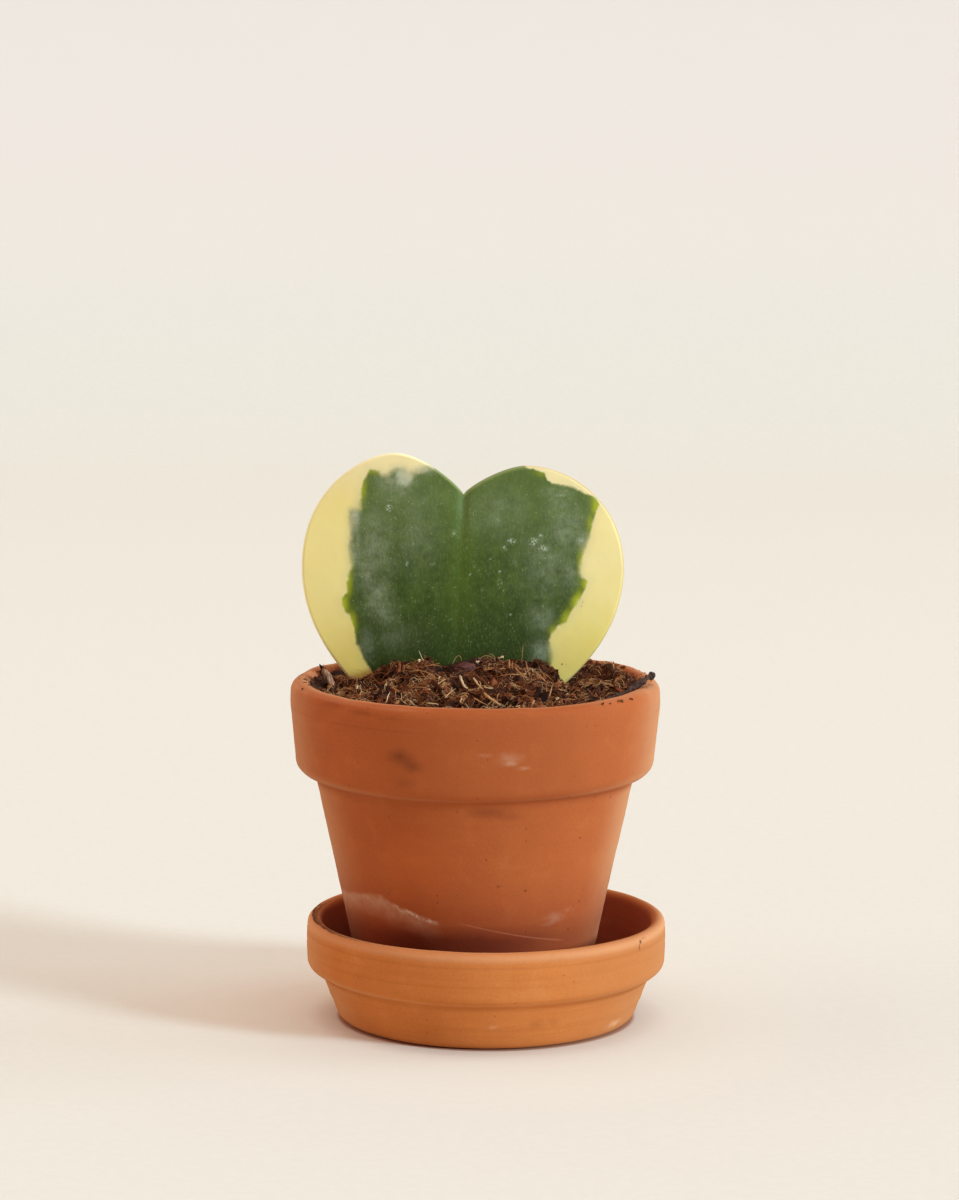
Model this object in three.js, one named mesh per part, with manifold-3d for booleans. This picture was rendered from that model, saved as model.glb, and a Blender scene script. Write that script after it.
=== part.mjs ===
// A variegated heart-leaf hoya in a terracotta pot on a terracotta saucer.
// One rooted leaf stands in a mound of coarse soil, with a few loose bits of bark lying on it.
// Millimetres, +Z up, -Y is the front. The origin is the centre of the saucer's base, on the table.
import * as THREE from "three";
import { mergeVertices } from "three/addons/utils/BufferGeometryUtils.js";
import Module from "manifold-3d";

const wasm = await Module();
wasm.setup();

// ---- driving dimensions ----

const GAP = 0.3; // clearance between a piece and what it is set into
const ROUND_SIDES = 48; // facets round the pot and the saucer

const SAUCER = {
  baseRadius: 35.0,
  footRadius: 37.4, // where the rounded foot meets the wall
  footHeight: 1.6,
  neckRadius: 41.4, // the wall just under the band
  neckHeight: 11.6,
  bandLowRadius: 44.9,
  bandStepCentre: 14.9,
  bandStepDrop: 2.2,
  bandRadius: 45.0,
  bandMiddle: 19.0,
  lipRadius: 1.9,
  height: 25.9,
  floor: 5.0,
  floorRadius: 33.0,
  innerCorner: 3.5,
  innerLowRadius: 36.5,
};

const POT = {
  offsetX: -3.1, // the pot stands a little left of the saucer's middle
  baseRadius: 27.0,
  footRadius: 27.8,
  footHeight: 0.9,
  neckRadius: 39.4, // the wall just under the collar
  neckHeight: 55.8,
  collarLowRadius: 44.6,
  collarStepCentre: 61.0,
  collarStepDrop: 3.6,
  collarRadius: 46.05,
  collarWidest: 75.2,
  lipRadius: 2.6,
  innerLipRadius: 1.8,
  height: 80.6,
  innerRimRadius: 41.0,
  floor: 5.0,
  innerFloorRadius: 21.5,
  innerFootRadius: 24.0,
  innerFootHeight: 7.5,
  drainRadius: 5.5,
};

// Heights of the soil are measured from the pot's base.
const SOIL = {
  sides: 44,
  edgeHeight: 79.6,
  moundHeight: 5.5,
  moundX: -2.0,
  moundHalfWidth: 22.0,
  moundY: 2.0,
  moundFront: 25.0,
  moundBack: 13.0,
  sideHillX: -31.0,
  sideHillY: 4.0,
  sideHillRadius: 9.0,
  sideHillHeight: 1.3,
  rightRise: 0.8, // the right side lies higher than the left by twice this
  rippleHeight: 0.35,
  roughness: 1.5,
  roughSeed: 3,
  topRings: [3.5, 7.5, 11.5, 15.5, 19.5, 23.5, 27.5, 31.0, 34.5, 37.8],
  drainPlugEnd: 0.6,
};

const CRUMBS = {
  seed: 11,
  count: 42,
  reach: 37.0,
  smallest: 1.5,
  largest: 3.1,
  sunk: 0.15, // share of its radius that a crumb's centre lies below the surface
};

const FIBRES = {
  seed: 5,
  count: 14,
  reach: 33.0,
  radius: 0.42,
  shortest: 6.0,
  longest: 12.0,
  steps: 5,
  sides: 4,
};

// The leaf is drawn in its own plane: x across, z up from the level of the pot's rim, y through it.
const LEAF = {
  x: -3.2, // from the pot's axis
  y: 8.0,
  z: 79.0,
  lean: THREE.MathUtils.degToRad(4), // leans back
  middle: new THREE.Vector2(-0.4, 24.0),
  thickMiddle: 3.6,
  thickEdge: 1.7,
  cup: 1.6, // the sides lie this far behind the midrib
  grooveDepth: 0.55,
  grooveHalfWidth: 1.7,
  midribLean: 0.044, // the midrib runs up to the right
  midribFoot: -1.9,
  pointsPerSide: 28,
  rings: [0.3, 0.55, 0.76, 0.9, 0.965],
  roundRing: 0.99,
};

const NOTCH = [0.0, 46.6];
const TIP = [-2.6, -19.5];
const LEFT_TOP = [-17.4, 56.8];
const LEFT_SIDE = [-40.5, 28.1];
const RIGHT_TOP = [15.7, 53.8];
const RIGHT_SIDE = [40.3, 28.0];

const STALK = { radius: 1.9, length: 9.0, sides: 8 };
const ROOTS = { count: 4, radius: 0.6, length: 15.0, drop: 9.0, sides: 5, steps: 5 };

// Loose bits of bark, placed from the pot's axis and base.
const SLIVER = {
  path: [
    [31.4, -23.5, 79.2],
    [36.9, -17.3, 80.6],
    [40.5, -12.3, 81.85],
    [44.5, -5.0, 82.9],
  ],
  radii: [0.6, 0.8, 0.8, 1.25, 0.7],
  sides: 6,
};
const CHIP = { at: [-36.6, 2.2, 80.2], size: [1.3, 0.8, 2.7], turn: [0.35, -0.45, 0.3], seed: 21 };
const NUGGET = { at: [-2.8, 1.4, 84.9], size: [2.9, 2.0, 2.0], turn: [0.2, 0.3, 0.1], seed: 33 };

const COLOURS = {
  saucer: 0xc97f4e,
  pot: 0xb2643a,
  soil: 0x4a2c1d,
  leaf: 0x4f7338,
  sliver: 0x2c1b14,
  chip: 0x8f6a4a,
  nugget: 0x5a2f26,
};

// ---- small tools ----

// A seeded random number source, 0 to 1.
function randomSource(seed) {
  let state = seed;
  return () => {
    state = (state + 0x6d2b79f5) | 0;
    let mixed = Math.imul(state ^ (state >>> 15), 1 | state);
    mixed = (mixed + Math.imul(mixed ^ (mixed >>> 7), 61 | mixed)) ^ mixed;
    return ((mixed ^ (mixed >>> 14)) >>> 0) / 4294967296;
  };
}

// Points of a circular arc, as profile points (radius, height).
function arc(centreR, centreZ, radius, fromDegrees, toDegrees, steps) {
  const points = [];
  for (let i = 0; i <= steps; i++) {
    const angle = THREE.MathUtils.degToRad(fromDegrees + ((toDegrees - fromDegrees) * i) / steps);
    const r = centreR + radius * Math.cos(angle);
    const z = centreZ + radius * Math.sin(angle);
    points.push([r, z]);
  }
  return points;
}

// Turns a profile of (radius, height) points round the Z axis.
function turned(profile, sides) {
  const points = profile.map(([r, z]) => new THREE.Vector2(r, z));
  const geometry = new THREE.LatheGeometry(points, sides);
  geometry.rotateX(Math.PI / 2);
  return geometry;
}

// A closed skin from one end point through rings of equal count to the other end point.
function skinOfRings(first, rings, last) {
  const count = rings[0].length;
  const positions = [...first];
  rings.flat().forEach((point) => positions.push(...point));
  positions.push(...last);
  const index = [];
  const lastIndex = 1 + rings.length * count;
  for (let i = 0; i < count; i++) {
    const next = (i + 1) % count;
    index.push(0, 1 + next, 1 + i);
    for (let ring = 0; ring + 1 < rings.length; ring++) {
      const low = 1 + ring * count;
      const high = low + count;
      index.push(low + i, low + next, high + next);
      index.push(low + i, high + next, high + i);
    }
    const top = lastIndex - count;
    index.push(top + i, top + next, lastIndex);
  }
  const geometry = new THREE.BufferGeometry();
  geometry.setAttribute("position", new THREE.Float32BufferAttribute(positions, 3));
  geometry.setIndex(index);
  return geometry;
}

// A closed round rod along a smooth path, with its own radius at each end and evenly between.
function rod(path, radii, sides, steps) {
  const curve = new THREE.CatmullRomCurve3(path.map((point) => new THREE.Vector3(...point)));
  const frames = curve.computeFrenetFrames(steps, false);
  const rings = [];
  for (let i = 0; i <= steps; i++) {
    const along = (i / steps) * (radii.length - 1);
    const low = Math.min(Math.floor(along), radii.length - 2);
    const radius = THREE.MathUtils.lerp(radii[low], radii[low + 1], along - low);
    const centre = curve.getPointAt(i / steps);
    const ring = [];
    for (let side = 0; side < sides; side++) {
      const angle = (2 * Math.PI * side) / sides;
      const point = centre
        .clone()
        .addScaledVector(frames.normals[i], radius * Math.cos(angle))
        .addScaledVector(frames.binormals[i], radius * Math.sin(angle));
      ring.push(point.toArray());
    }
    rings.push(ring);
  }
  return skinOfRings(curve.getPointAt(0).toArray(), rings, curve.getPointAt(1).toArray());
}

// A rough lump: a low round solid whose corners are pushed in and out.
function lump(size, turn, seed, detail = 0) {
  const random = randomSource(seed);
  const bare = new THREE.IcosahedronGeometry(1, detail);
  bare.deleteAttribute("normal");
  bare.deleteAttribute("uv");
  const geometry = mergeVertices(bare, 1e-4);
  const place = geometry.attributes.position;
  for (let i = 0; i < place.count; i++) {
    const push = 0.8 + 0.35 * random();
    place.setXYZ(i, place.getX(i) * push, place.getY(i) * push, place.getZ(i) * push);
  }
  geometry.scale(...size);
  geometry.rotateX(turn[0]);
  geometry.rotateY(turn[1]);
  geometry.rotateZ(turn[2]);
  return geometry;
}

// A closed geometry as a solid that can be joined and cut.
function solidOf(geometry) {
  const bare = geometry.clone();
  bare.deleteAttribute("normal");
  bare.deleteAttribute("uv");
  const merged = mergeVertices(bare, 1e-4);
  const corners = merged.index.array;
  const triangles = [];
  for (let i = 0; i < corners.length; i += 3) {
    const [a, b, c] = [corners[i], corners[i + 1], corners[i + 2]];
    if (a !== b && b !== c && c !== a) {
      triangles.push(a, b, c);
    }
  }
  const mesh = new wasm.Mesh({
    numProp: 3,
    vertProperties: merged.attributes.position.array,
    triVerts: new Uint32Array(triangles),
  });
  return new wasm.Manifold(mesh);
}

// A solid back as a geometry, keeping only its largest body.
function geometryOf(solid) {
  const bodies = solid.decompose();
  bodies.sort((a, b) => b.volume() - a.volume());
  const mesh = bodies[0].getMesh();
  const geometry = new THREE.BufferGeometry();
  geometry.setAttribute("position", new THREE.Float32BufferAttribute(mesh.vertProperties, 3));
  geometry.setIndex([...mesh.triVerts]);
  geometry.computeVertexNormals();
  return geometry;
}

function namedMesh(name, geometry, colour, roughness) {
  const material = new THREE.MeshStandardMaterial({ color: colour, roughness, metalness: 0 });
  const mesh = new THREE.Mesh(geometry, material);
  mesh.name = name;
  return mesh;
}

// ---- saucer ----

function saucerGeometry() {
  const s = SAUCER;
  const lipZ = s.height - s.lipRadius;
  const lipR = s.bandRadius - 0.1 - s.lipRadius;
  const stepR = s.bandLowRadius - s.bandStepDrop;
  const profile = [
    [0, 0],
    [s.baseRadius, 0],
    [s.baseRadius + 1.5, 0.45],
    [s.footRadius, s.footHeight],
    [s.neckRadius - 0.5, s.neckHeight - 1.1],
    [s.neckRadius, s.neckHeight],
    ...arc(stepR, s.bandStepCentre, s.bandStepDrop, -68, 0, 4),
    [s.bandRadius, s.bandMiddle],
    ...arc(lipR, lipZ, s.lipRadius, 0, 180, 8),
    [s.innerLowRadius, s.floor + s.innerCorner],
    [s.floorRadius + 2.2, s.floor + 1.0],
    [s.floorRadius, s.floor],
    [0, s.floor],
  ];
  return turned(profile, ROUND_SIDES);
}

// ---- pot ----

// The radius of the pot's inner wall at a height above its base.
function innerWallRadius(z) {
  const rimZ = POT.height - POT.innerLipRadius;
  const slope = (POT.innerRimRadius - POT.innerFootRadius) / (rimZ - POT.innerFootHeight);
  return POT.innerFootRadius + slope * (z - POT.innerFootHeight);
}

function potGeometry() {
  const p = POT;
  const outerLipR = p.collarRadius - 0.1 - p.lipRadius;
  const innerLipR = p.innerRimRadius + p.innerLipRadius;
  const stepR = p.collarLowRadius - p.collarStepDrop;
  const profile = [
    [p.drainRadius, 0],
    [p.baseRadius, 0],
    [p.footRadius, p.footHeight],
    [p.neckRadius, p.neckHeight],
    [p.neckRadius + 0.7, p.neckHeight + 1.0],
    ...arc(stepR, p.collarStepCentre, p.collarStepDrop, -66, 0, 4),
    [p.collarRadius, p.collarWidest],
    ...arc(outerLipR, p.height - p.lipRadius, p.lipRadius, 0, 90, 5),
    ...arc(innerLipR, p.height - p.innerLipRadius, p.innerLipRadius, 90, 180, 4),
    [p.innerFootRadius, p.innerFootHeight],
    [p.innerFloorRadius, p.floor],
    [p.drainRadius, p.floor],
    [p.drainRadius, 0],
  ];
  return turned(profile, ROUND_SIDES);
}

// ---- leaf ----

// The outline of the heart, from the notch down the left side to the tip and up the right side.
function leafOutline() {
  const left = new THREE.Path();
  left.moveTo(...NOTCH);
  left.bezierCurveTo(-1.0, 48.6, LEFT_TOP[0] + 7.4, LEFT_TOP[1], ...LEFT_TOP);
  left.bezierCurveTo(LEFT_TOP[0] - 6.1, LEFT_TOP[1], LEFT_SIDE[0], LEFT_SIDE[1] + 21.2, ...LEFT_SIDE);
  left.bezierCurveTo(LEFT_SIDE[0], LEFT_SIDE[1] - 30.3, TIP[0] + 1.0, TIP[1] + 1.0, ...TIP);
  const right = new THREE.Path();
  right.moveTo(...TIP);
  right.bezierCurveTo(TIP[0] - 1.0, TIP[1] + 2.8, RIGHT_SIDE[0], RIGHT_SIDE[1] - 31.8, ...RIGHT_SIDE);
  right.bezierCurveTo(RIGHT_SIDE[0], RIGHT_SIDE[1] + 16.5, RIGHT_TOP[0] + 11.2, RIGHT_TOP[1], ...RIGHT_TOP);
  right.bezierCurveTo(RIGHT_TOP[0] - 5.7, RIGHT_TOP[1], 1.0, 48.4, ...NOTCH);
  const leftPoints = left.getSpacedPoints(LEAF.pointsPerSide).slice(0, -1);
  const rightPoints = right.getSpacedPoints(LEAF.pointsPerSide).slice(0, -1);
  return [...leftPoints, ...rightPoints];
}

// How far the leaf's middle surface lies back at a point of its plane.
function leafBack(x, z) {
  const across = x - (LEAF.midribFoot + LEAF.midribLean * z);
  return LEAF.cup * (across / 40) ** 2;
}

// The groove along the midrib at a point of the leaf's plane.
function leafGroove(x, z) {
  const across = x - (LEAF.midribFoot + LEAF.midribLean * z);
  return LEAF.grooveDepth * Math.exp(-((across / LEAF.grooveHalfWidth) ** 2));
}

// The blade, with every face moved out by grow.
function bladeGeometry(grow) {
  const outline = leafOutline();
  const half = (share) => {
    const fall = 1 - share ** 2.4;
    return LEAF.thickEdge / 2 + ((LEAF.thickMiddle - LEAF.thickEdge) / 2) * fall;
  };
  const ringAt = (share, thickness) =>
    outline.map((point) => {
      const out = point.clone().sub(LEAF.middle);
      const reach = out.length() * share + grow;
      const place = out.setLength(reach).add(LEAF.middle);
      const groove = thickness === 0 ? 0 : leafGroove(place.x, place.y);
      const front = thickness < 0 ? groove : groove * 0.4;
      return [place.x, leafBack(place.x, place.y) + thickness + front, place.y];
    });
  const front = LEAF.rings.map((share) => ringAt(share, -(half(share) + grow))).reverse();
  const back = LEAF.rings.map((share) => ringAt(share, half(share) + grow));
  const rim = 0.62 * (LEAF.thickEdge / 2) + grow;
  const rings = [
    ...back,
    ringAt(LEAF.roundRing, rim),
    ringAt(1, 0),
    ringAt(LEAF.roundRing, -rim),
    ...front,
  ];
  const middleThickness = half(0) + grow;
  const groove = leafGroove(LEAF.middle.x, LEAF.middle.y);
  const centreFront = [LEAF.middle.x, -middleThickness + groove, LEAF.middle.y];
  const centreBack = [LEAF.middle.x, middleThickness + groove * 0.4, LEAF.middle.y];
  return skinOfRings(centreBack, rings, centreFront);
}

// The leaf as one solid: blade, stalk and roots, with every face moved out by grow.
function leafSolid(grow) {
  const [tipX, tipZ] = TIP;
  const stalkEnd = [tipX + 1.2, 0.6, tipZ - STALK.length];
  const stalkPath = [[tipX + 0.6, 0, tipZ + 7], [tipX, 0.1, tipZ], stalkEnd];
  const stalkRadius = STALK.radius + grow;
  const pieces = [
    solidOf(bladeGeometry(grow)),
    solidOf(rod(stalkPath, [0.75 * stalkRadius, stalkRadius, stalkRadius], STALK.sides, 5)),
  ];
  for (let i = 0; i < ROOTS.count; i++) {
    const angle = (2 * Math.PI * (i + 0.3)) / ROOTS.count;
    const reach = ROOTS.length * (0.8 + 0.1 * i);
    const start = [stalkEnd[0], stalkEnd[1], stalkEnd[2] + 1.5 + 0.6 * i];
    const middle = [
      start[0] + 0.5 * reach * Math.cos(angle),
      start[1] + 0.5 * reach * Math.sin(angle),
      start[2] - 0.25 * ROOTS.drop,
    ];
    const end = [
      start[0] + 0.8 * reach * Math.cos(angle + 0.4),
      start[1] + 0.8 * reach * Math.sin(angle + 0.4),
      start[2] - ROOTS.drop,
    ];
    const root = rod([start, middle, end], [ROOTS.radius + grow + 0.2, ROOTS.radius + grow],
      ROOTS.sides, ROOTS.steps);
    pieces.push(solidOf(root));
  }
  return wasm.Manifold.union(pieces);
}

// Where the leaf stands, from the pot's axis and base.
const leafPlace = new THREE.Matrix4()
  .makeTranslation(LEAF.x, LEAF.y, LEAF.z)
  .multiply(new THREE.Matrix4().makeRotationX(-LEAF.lean));

// ---- soil ----

// The height of the soil's surface over the pot's base at a point from the pot's axis.
function soilHeight(x, y) {
  const across = Math.abs((x - SOIL.moundX) / SOIL.moundHalfWidth);
  const depth = y < SOIL.moundY ? SOIL.moundFront : SOIL.moundBack;
  const along = (y - SOIL.moundY) / depth;
  const mound = SOIL.moundHeight * Math.exp(-(across ** 6) - along ** 2);
  const toHill = Math.hypot(x - SOIL.sideHillX, y - SOIL.sideHillY) / SOIL.sideHillRadius;
  const hill = SOIL.sideHillHeight * Math.exp(-(toHill ** 2));
  const ripple = Math.sin(0.43 * x + 1.1) * Math.cos(0.37 * y - 0.4) + Math.sin(0.21 * (x - y));
  const wall = innerWallRadius(SOIL.edgeHeight);
  const calmAtWall = 1 - Math.min(1, Math.hypot(x, y) / wall) ** 8;
  const slant = (SOIL.rightRise * x) / wall;
  return SOIL.edgeHeight + mound + hill + (slant + SOIL.rippleHeight * ripple) * calmAtWall;
}

function soilBodyGeometry() {
  const random = randomSource(SOIL.roughSeed);
  const circle = (radius, height) => {
    const ring = [];
    for (let i = 0; i < SOIL.sides; i++) {
      const angle = (2 * Math.PI * i) / SOIL.sides;
      const x = radius * Math.cos(angle);
      const y = radius * Math.sin(angle);
      ring.push([x, y, height ?? soilHeight(x, y) + SOIL.roughness * (random() - 0.5)]);
    }
    return ring;
  };
  const plug = POT.drainRadius - GAP;
  const wallTop = innerWallRadius(SOIL.edgeHeight - 1) - GAP;
  const rings = [
    circle(plug, SOIL.drainPlugEnd),
    circle(plug, POT.floor),
    circle(POT.innerFloorRadius - GAP, POT.floor),
    circle(POT.innerFootRadius - GAP, POT.innerFootHeight),
    circle(wallTop, SOIL.edgeHeight - 1),
    ...[...SOIL.topRings].reverse().map((radius) => circle(radius)),
  ];
  return skinOfRings([0, 0, SOIL.drainPlugEnd], rings, [0, 0, soilHeight(0, 0)]);
}

// Crumbs scattered evenly over the surface, each sunk into it.
function crumbSolids() {
  const random = randomSource(CRUMBS.seed);
  const solids = [];
  for (let i = 0; i < CRUMBS.count; i++) {
    const angle = 2 * Math.PI * ((i * 0.618034) % 1) + 0.5 * random();
    const radius = CRUMBS.reach * Math.sqrt((i + 0.5) / CRUMBS.count);
    const x = radius * Math.cos(angle);
    const y = radius * Math.sin(angle);
    const size = THREE.MathUtils.lerp(CRUMBS.smallest, CRUMBS.largest, random() ** 1.6);
    const stretch = [size * (0.8 + 0.5 * random()), size, size * 0.9];
    const crumb = lump(stretch, [3 * random(), 3 * random(), 3 * random()], CRUMBS.seed + i);
    crumb.translate(x, y, soilHeight(x, y) - CRUMBS.sunk * size);
    solids.push(solidOf(crumb));
  }
  return solids;
}

// Coir fibres: low arcs that leave the soil and dive back into it.
function fibreSolids() {
  const random = randomSource(FIBRES.seed);
  const solids = [];
  for (let i = 0; i < FIBRES.count; i++) {
    const angle = 2 * Math.PI * random();
    const radius = FIBRES.reach * Math.sqrt(random());
    const x = radius * Math.cos(angle);
    const y = radius * Math.sin(angle);
    const turn = Math.PI * random();
    const half = 0.5 * THREE.MathUtils.lerp(FIBRES.shortest, FIBRES.longest, random());
    const rise = 1.0 + 1.2 * random();
    const bend = 1.5 * (random() - 0.5);
    const path = [-1, 0, 1].map((end) => {
      const px = x + end * half * Math.cos(turn) - (1 - end * end) * bend * Math.sin(turn);
      const py = y + end * half * Math.sin(turn) + (1 - end * end) * bend * Math.cos(turn);
      return [px, py, soilHeight(px, py) + (end === 0 ? rise : -1.1)];
    });
    const inside = path.every(([px, py]) => Math.hypot(px, py) < CRUMBS.reach);
    if (inside) {
      solids.push(solidOf(rod(path, [FIBRES.radius, FIBRES.radius], FIBRES.sides, FIBRES.steps)));
    }
  }
  return solids;
}

// ---- loose bark ----

function grownSize(size, grow) {
  return size.map((value) => value + grow);
}

function looseLump(piece, grow) {
  const geometry = lump(grownSize(piece.size, grow), piece.turn, piece.seed, 1);
  geometry.translate(...piece.at);
  return geometry;
}

function sliverGeometry(grow) {
  const radii = grownSize(SLIVER.radii, grow);
  return rod(SLIVER.path, radii, SLIVER.sides, 10);
}

function soilSolid() {
  const grown = GAP + 0.1;
  const body = wasm.Manifold.union([solidOf(soilBodyGeometry()), ...crumbSolids(), ...fibreSolids()]);
  const placedLeaf = geometryOf(leafSolid(grown)).applyMatrix4(leafPlace);
  const pockets = [
    solidOf(placedLeaf),
    solidOf(sliverGeometry(grown)),
    solidOf(looseLump(CHIP, grown)),
    solidOf(looseLump(NUGGET, grown)),
  ];
  return body.subtract(wasm.Manifold.union(pockets));
}

// ---- the whole ----

const saucer = namedMesh("saucer", geometryOf(solidOf(saucerGeometry())), COLOURS.saucer, 0.85);
const pot = namedMesh("pot", geometryOf(solidOf(potGeometry())), COLOURS.pot, 0.85);
const soil = namedMesh("soil", geometryOf(soilSolid()), COLOURS.soil, 1.0);
const leaf = namedMesh("leaf", geometryOf(leafSolid(0)), COLOURS.leaf, 0.5);
leaf.applyMatrix4(leafPlace);
const sliver = namedMesh("bark_sliver", geometryOf(solidOf(sliverGeometry(0))), COLOURS.sliver, 0.9);
const chip = namedMesh("wood_chip", geometryOf(solidOf(looseLump(CHIP, 0))), COLOURS.chip, 0.9);
const nugget = namedMesh("bark_nugget", geometryOf(solidOf(looseLump(NUGGET, 0))), COLOURS.nugget, 0.9);

const filledPot = new THREE.Group();
filledPot.position.set(POT.offsetX, 0, SAUCER.floor);
filledPot.add(pot, soil, leaf, sliver, chip, nugget);

const plant = new THREE.Group();
plant.add(saucer, filledPot);

export default plant;
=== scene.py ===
"""The finished looks of a heart-leaf hoya in its terracotta pot and saucer, in metres, +Z up, -Y the front.

Every new piece is a surface worked out with numpy from a profile, an outline or a height rule.
"""
import bpy
import numpy as np
from mathutils import Matrix, Vector


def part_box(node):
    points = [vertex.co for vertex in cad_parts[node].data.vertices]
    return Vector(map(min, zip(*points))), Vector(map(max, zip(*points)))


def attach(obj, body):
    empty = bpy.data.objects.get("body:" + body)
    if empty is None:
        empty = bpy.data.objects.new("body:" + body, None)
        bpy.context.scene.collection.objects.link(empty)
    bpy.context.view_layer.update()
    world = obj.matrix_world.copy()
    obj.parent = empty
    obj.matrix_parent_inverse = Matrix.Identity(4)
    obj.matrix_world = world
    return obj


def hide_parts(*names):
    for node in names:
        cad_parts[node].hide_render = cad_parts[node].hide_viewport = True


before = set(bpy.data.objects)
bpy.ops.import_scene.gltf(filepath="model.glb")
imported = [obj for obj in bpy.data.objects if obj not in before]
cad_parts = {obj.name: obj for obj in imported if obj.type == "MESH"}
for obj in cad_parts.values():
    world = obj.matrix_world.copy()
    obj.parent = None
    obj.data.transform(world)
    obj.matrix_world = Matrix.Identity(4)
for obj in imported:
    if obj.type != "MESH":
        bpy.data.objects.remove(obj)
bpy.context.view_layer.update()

MM = 0.001
BODY = "root"

# ---- places taken from the frame ----

POT_LOW, POT_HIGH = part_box("pot")
POT_AXIS = np.array([(POT_LOW.x + POT_HIGH.x) / 2, (POT_LOW.y + POT_HIGH.y) / 2, POT_LOW.z]) / MM
POT_HEIGHT = (POT_HIGH.z - POT_LOW.z) / MM
POT_RADIUS = (POT_HIGH.x - POT_LOW.x) / 2 / MM
SAUCER_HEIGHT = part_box("saucer")[1].z / MM
SAUCER_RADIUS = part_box("saucer")[1].x / MM

# ---- driving dimensions, in millimetres ----

POT_WALL = {"base": 27.0, "neck": 39.4, "neck_z": 55.8, "collar_low": 44.6, "collar_z": 61.0,
            "collar_drop": 3.6, "widest_z": 75.2, "lip": 2.6, "inner_lip": 1.8, "inner_rim": 41.0,
            "floor": 5.0, "inner_floor": 21.5, "inner_foot": 24.0, "inner_foot_z": 7.5, "drain": 5.5}
SAUCER_WALL = {"base": 35.0, "foot": 37.4, "foot_z": 1.6, "neck": 41.4, "neck_z": 11.6,
               "band_low": 44.9, "band_z": 14.9, "band_drop": 2.2, "middle_z": 19.0, "lip": 1.9,
               "floor": 5.0, "floor_radius": 33.0, "corner": 3.5, "inner_low": 36.5}
LIP_TUCK = 0.1  # the lip's roundness starts this far inside the widest radius
INNER_LIP_CENTRE = POT_WALL["inner_rim"] + POT_WALL["inner_lip"]
LIP_CENTRE = POT_RADIUS - LIP_TUCK - POT_WALL["lip"]
CLAY_STEP, CLAY_SIDES = 0.62, 240
# Level grooves in the clay: height, depth and half width, cut only further out than the radius that follows.
POT_GROOVES, POT_OUTSIDE = [(74.9, 0.12, 0.45)], 43.5
SAUCER_GROOVES, SAUCER_OUTSIDE = [(SAUCER_HEIGHT - 2.6, 0.11, 0.32), (19.6, 0.09, 0.4)], 43.0

# The leaf is drawn in its own plane: x across, z up from just under the rim, y through it.
LEAF_PLACE = np.array([-3.2, 8.0, 79.0])  # from the pot's axis and base
LEAF_LEAN = np.radians(4.0)
LEAF_MIDDLE = np.array([-0.4, 24.0])
LEAF_THICK, LEAF_EDGE_THICK, LEAF_EDGE_ROUND = 3.6, 1.7, 0.7
LEAF_CUP, LEAF_CUP_REACH = 1.6, 40.0  # how far back the blade lies, at this distance from the midrib
GROOVE_DEPTH, GROOVE_HALF_WIDTH, GROOVE_DEEPEST = 0.16, 1.3, 0.55
MIDRIB_LEAN, MIDRIB_FOOT = 0.044, -1.9
LEAF_AROUND, LEAF_RINGS = 460, 80
HEART = [  # cubic curves from the notch down the left side to the tip, and up the right side
    [(0.0, 46.6), (-1.0, 48.6), (-10.0, 56.8), (-17.4, 56.8)],
    [(-17.4, 56.8), (-23.5, 56.8), (-40.5, 49.3), (-40.5, 28.1)],
    [(-40.5, 28.1), (-40.5, -2.2), (-1.6, -18.5), (-2.6, -19.5)],
    [(-2.6, -19.5), (-3.6, -16.7), (40.3, -3.8), (40.3, 28.0)],
    [(40.3, 28.0), (40.3, 44.5), (26.9, 53.8), (15.7, 53.8)],
    [(15.7, 53.8), (10.0, 53.8), (1.0, 48.4), (0.0, 46.6)],
]
# The green middle of the leaf: its edge on the left, the pale bay at the top, and its edge on the right.
GREEN_LEFT = [(-22.7, 2.4), (-24.1, 3.9), (-25.1, 5.4), (-25.8, 7.3), (-26.6, 9.3), (-27.0, 11.3),
              (-27.5, 13.7), (-28.2, 15.7), (-29.7, 17.1), (-30.4, 18.6), (-30.2, 20.6), (-29.2, 22.0),
              (-29.1, 24.5), (-28.2, 27.4), (-28.0, 29.9), (-28.3, 32.3), (-28.5, 34.3), (-28.2, 36.7),
              (-28.3, 39.2), (-28.2, 42.2), (-25.9, 42.8), (-25.9, 44.1), (-25.8, 46.5), (-25.3, 49.5),
              (-24.4, 51.0), (-23.4, 52.7)]
GREEN_BAY = [(-21.0, 52.4), (-20.4, 51.3), (-19.0, 51.5), (-18.0, 52.4), (-16.7, 52.9), (-15.2, 52.4),
             (-14.2, 51.0), (-13.2, 50.8), (-12.6, 51.8), (-11.4, 52.1), (-10.0, 52.6), (-8.8, 53.0),
             (-7.6, 52.8), (-6.6, 54.5)]
GREEN_RIGHT = [(0, 58), (14.0, 60), (15.6, 53.6), (18.8, 52.7), (20.3, 51.9), (21.0, 50.5), (22.2, 49.5),
               (24.2, 49.0), (26.1, 48.6), (28.0, 48.0), (30.0, 47.0), (31.4, 46.5), (32.9, 45.6),
               (33.6, 44.1), (33.1, 42.1), (32.2, 39.7), (31.6, 37.2), (31.4, 35.3), (30.5, 33.8),
               (30.0, 31.8), (29.3, 29.9), (29.0, 27.4), (29.4, 25.9), (31.1, 25.0), (30.6, 23.5),
               (29.5, 21.5), (28.5, 19.6), (27.1, 17.1), (25.6, 14.7), (23.7, 13.2), (22.2, 11.7),
               (21.6, 9.8), (22.0, 7.8), (22.2, 5.9), (22.0, 3.9), (21.2, 2.9), (14, -6), (-2, -16),
               (-16, -6)]
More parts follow.
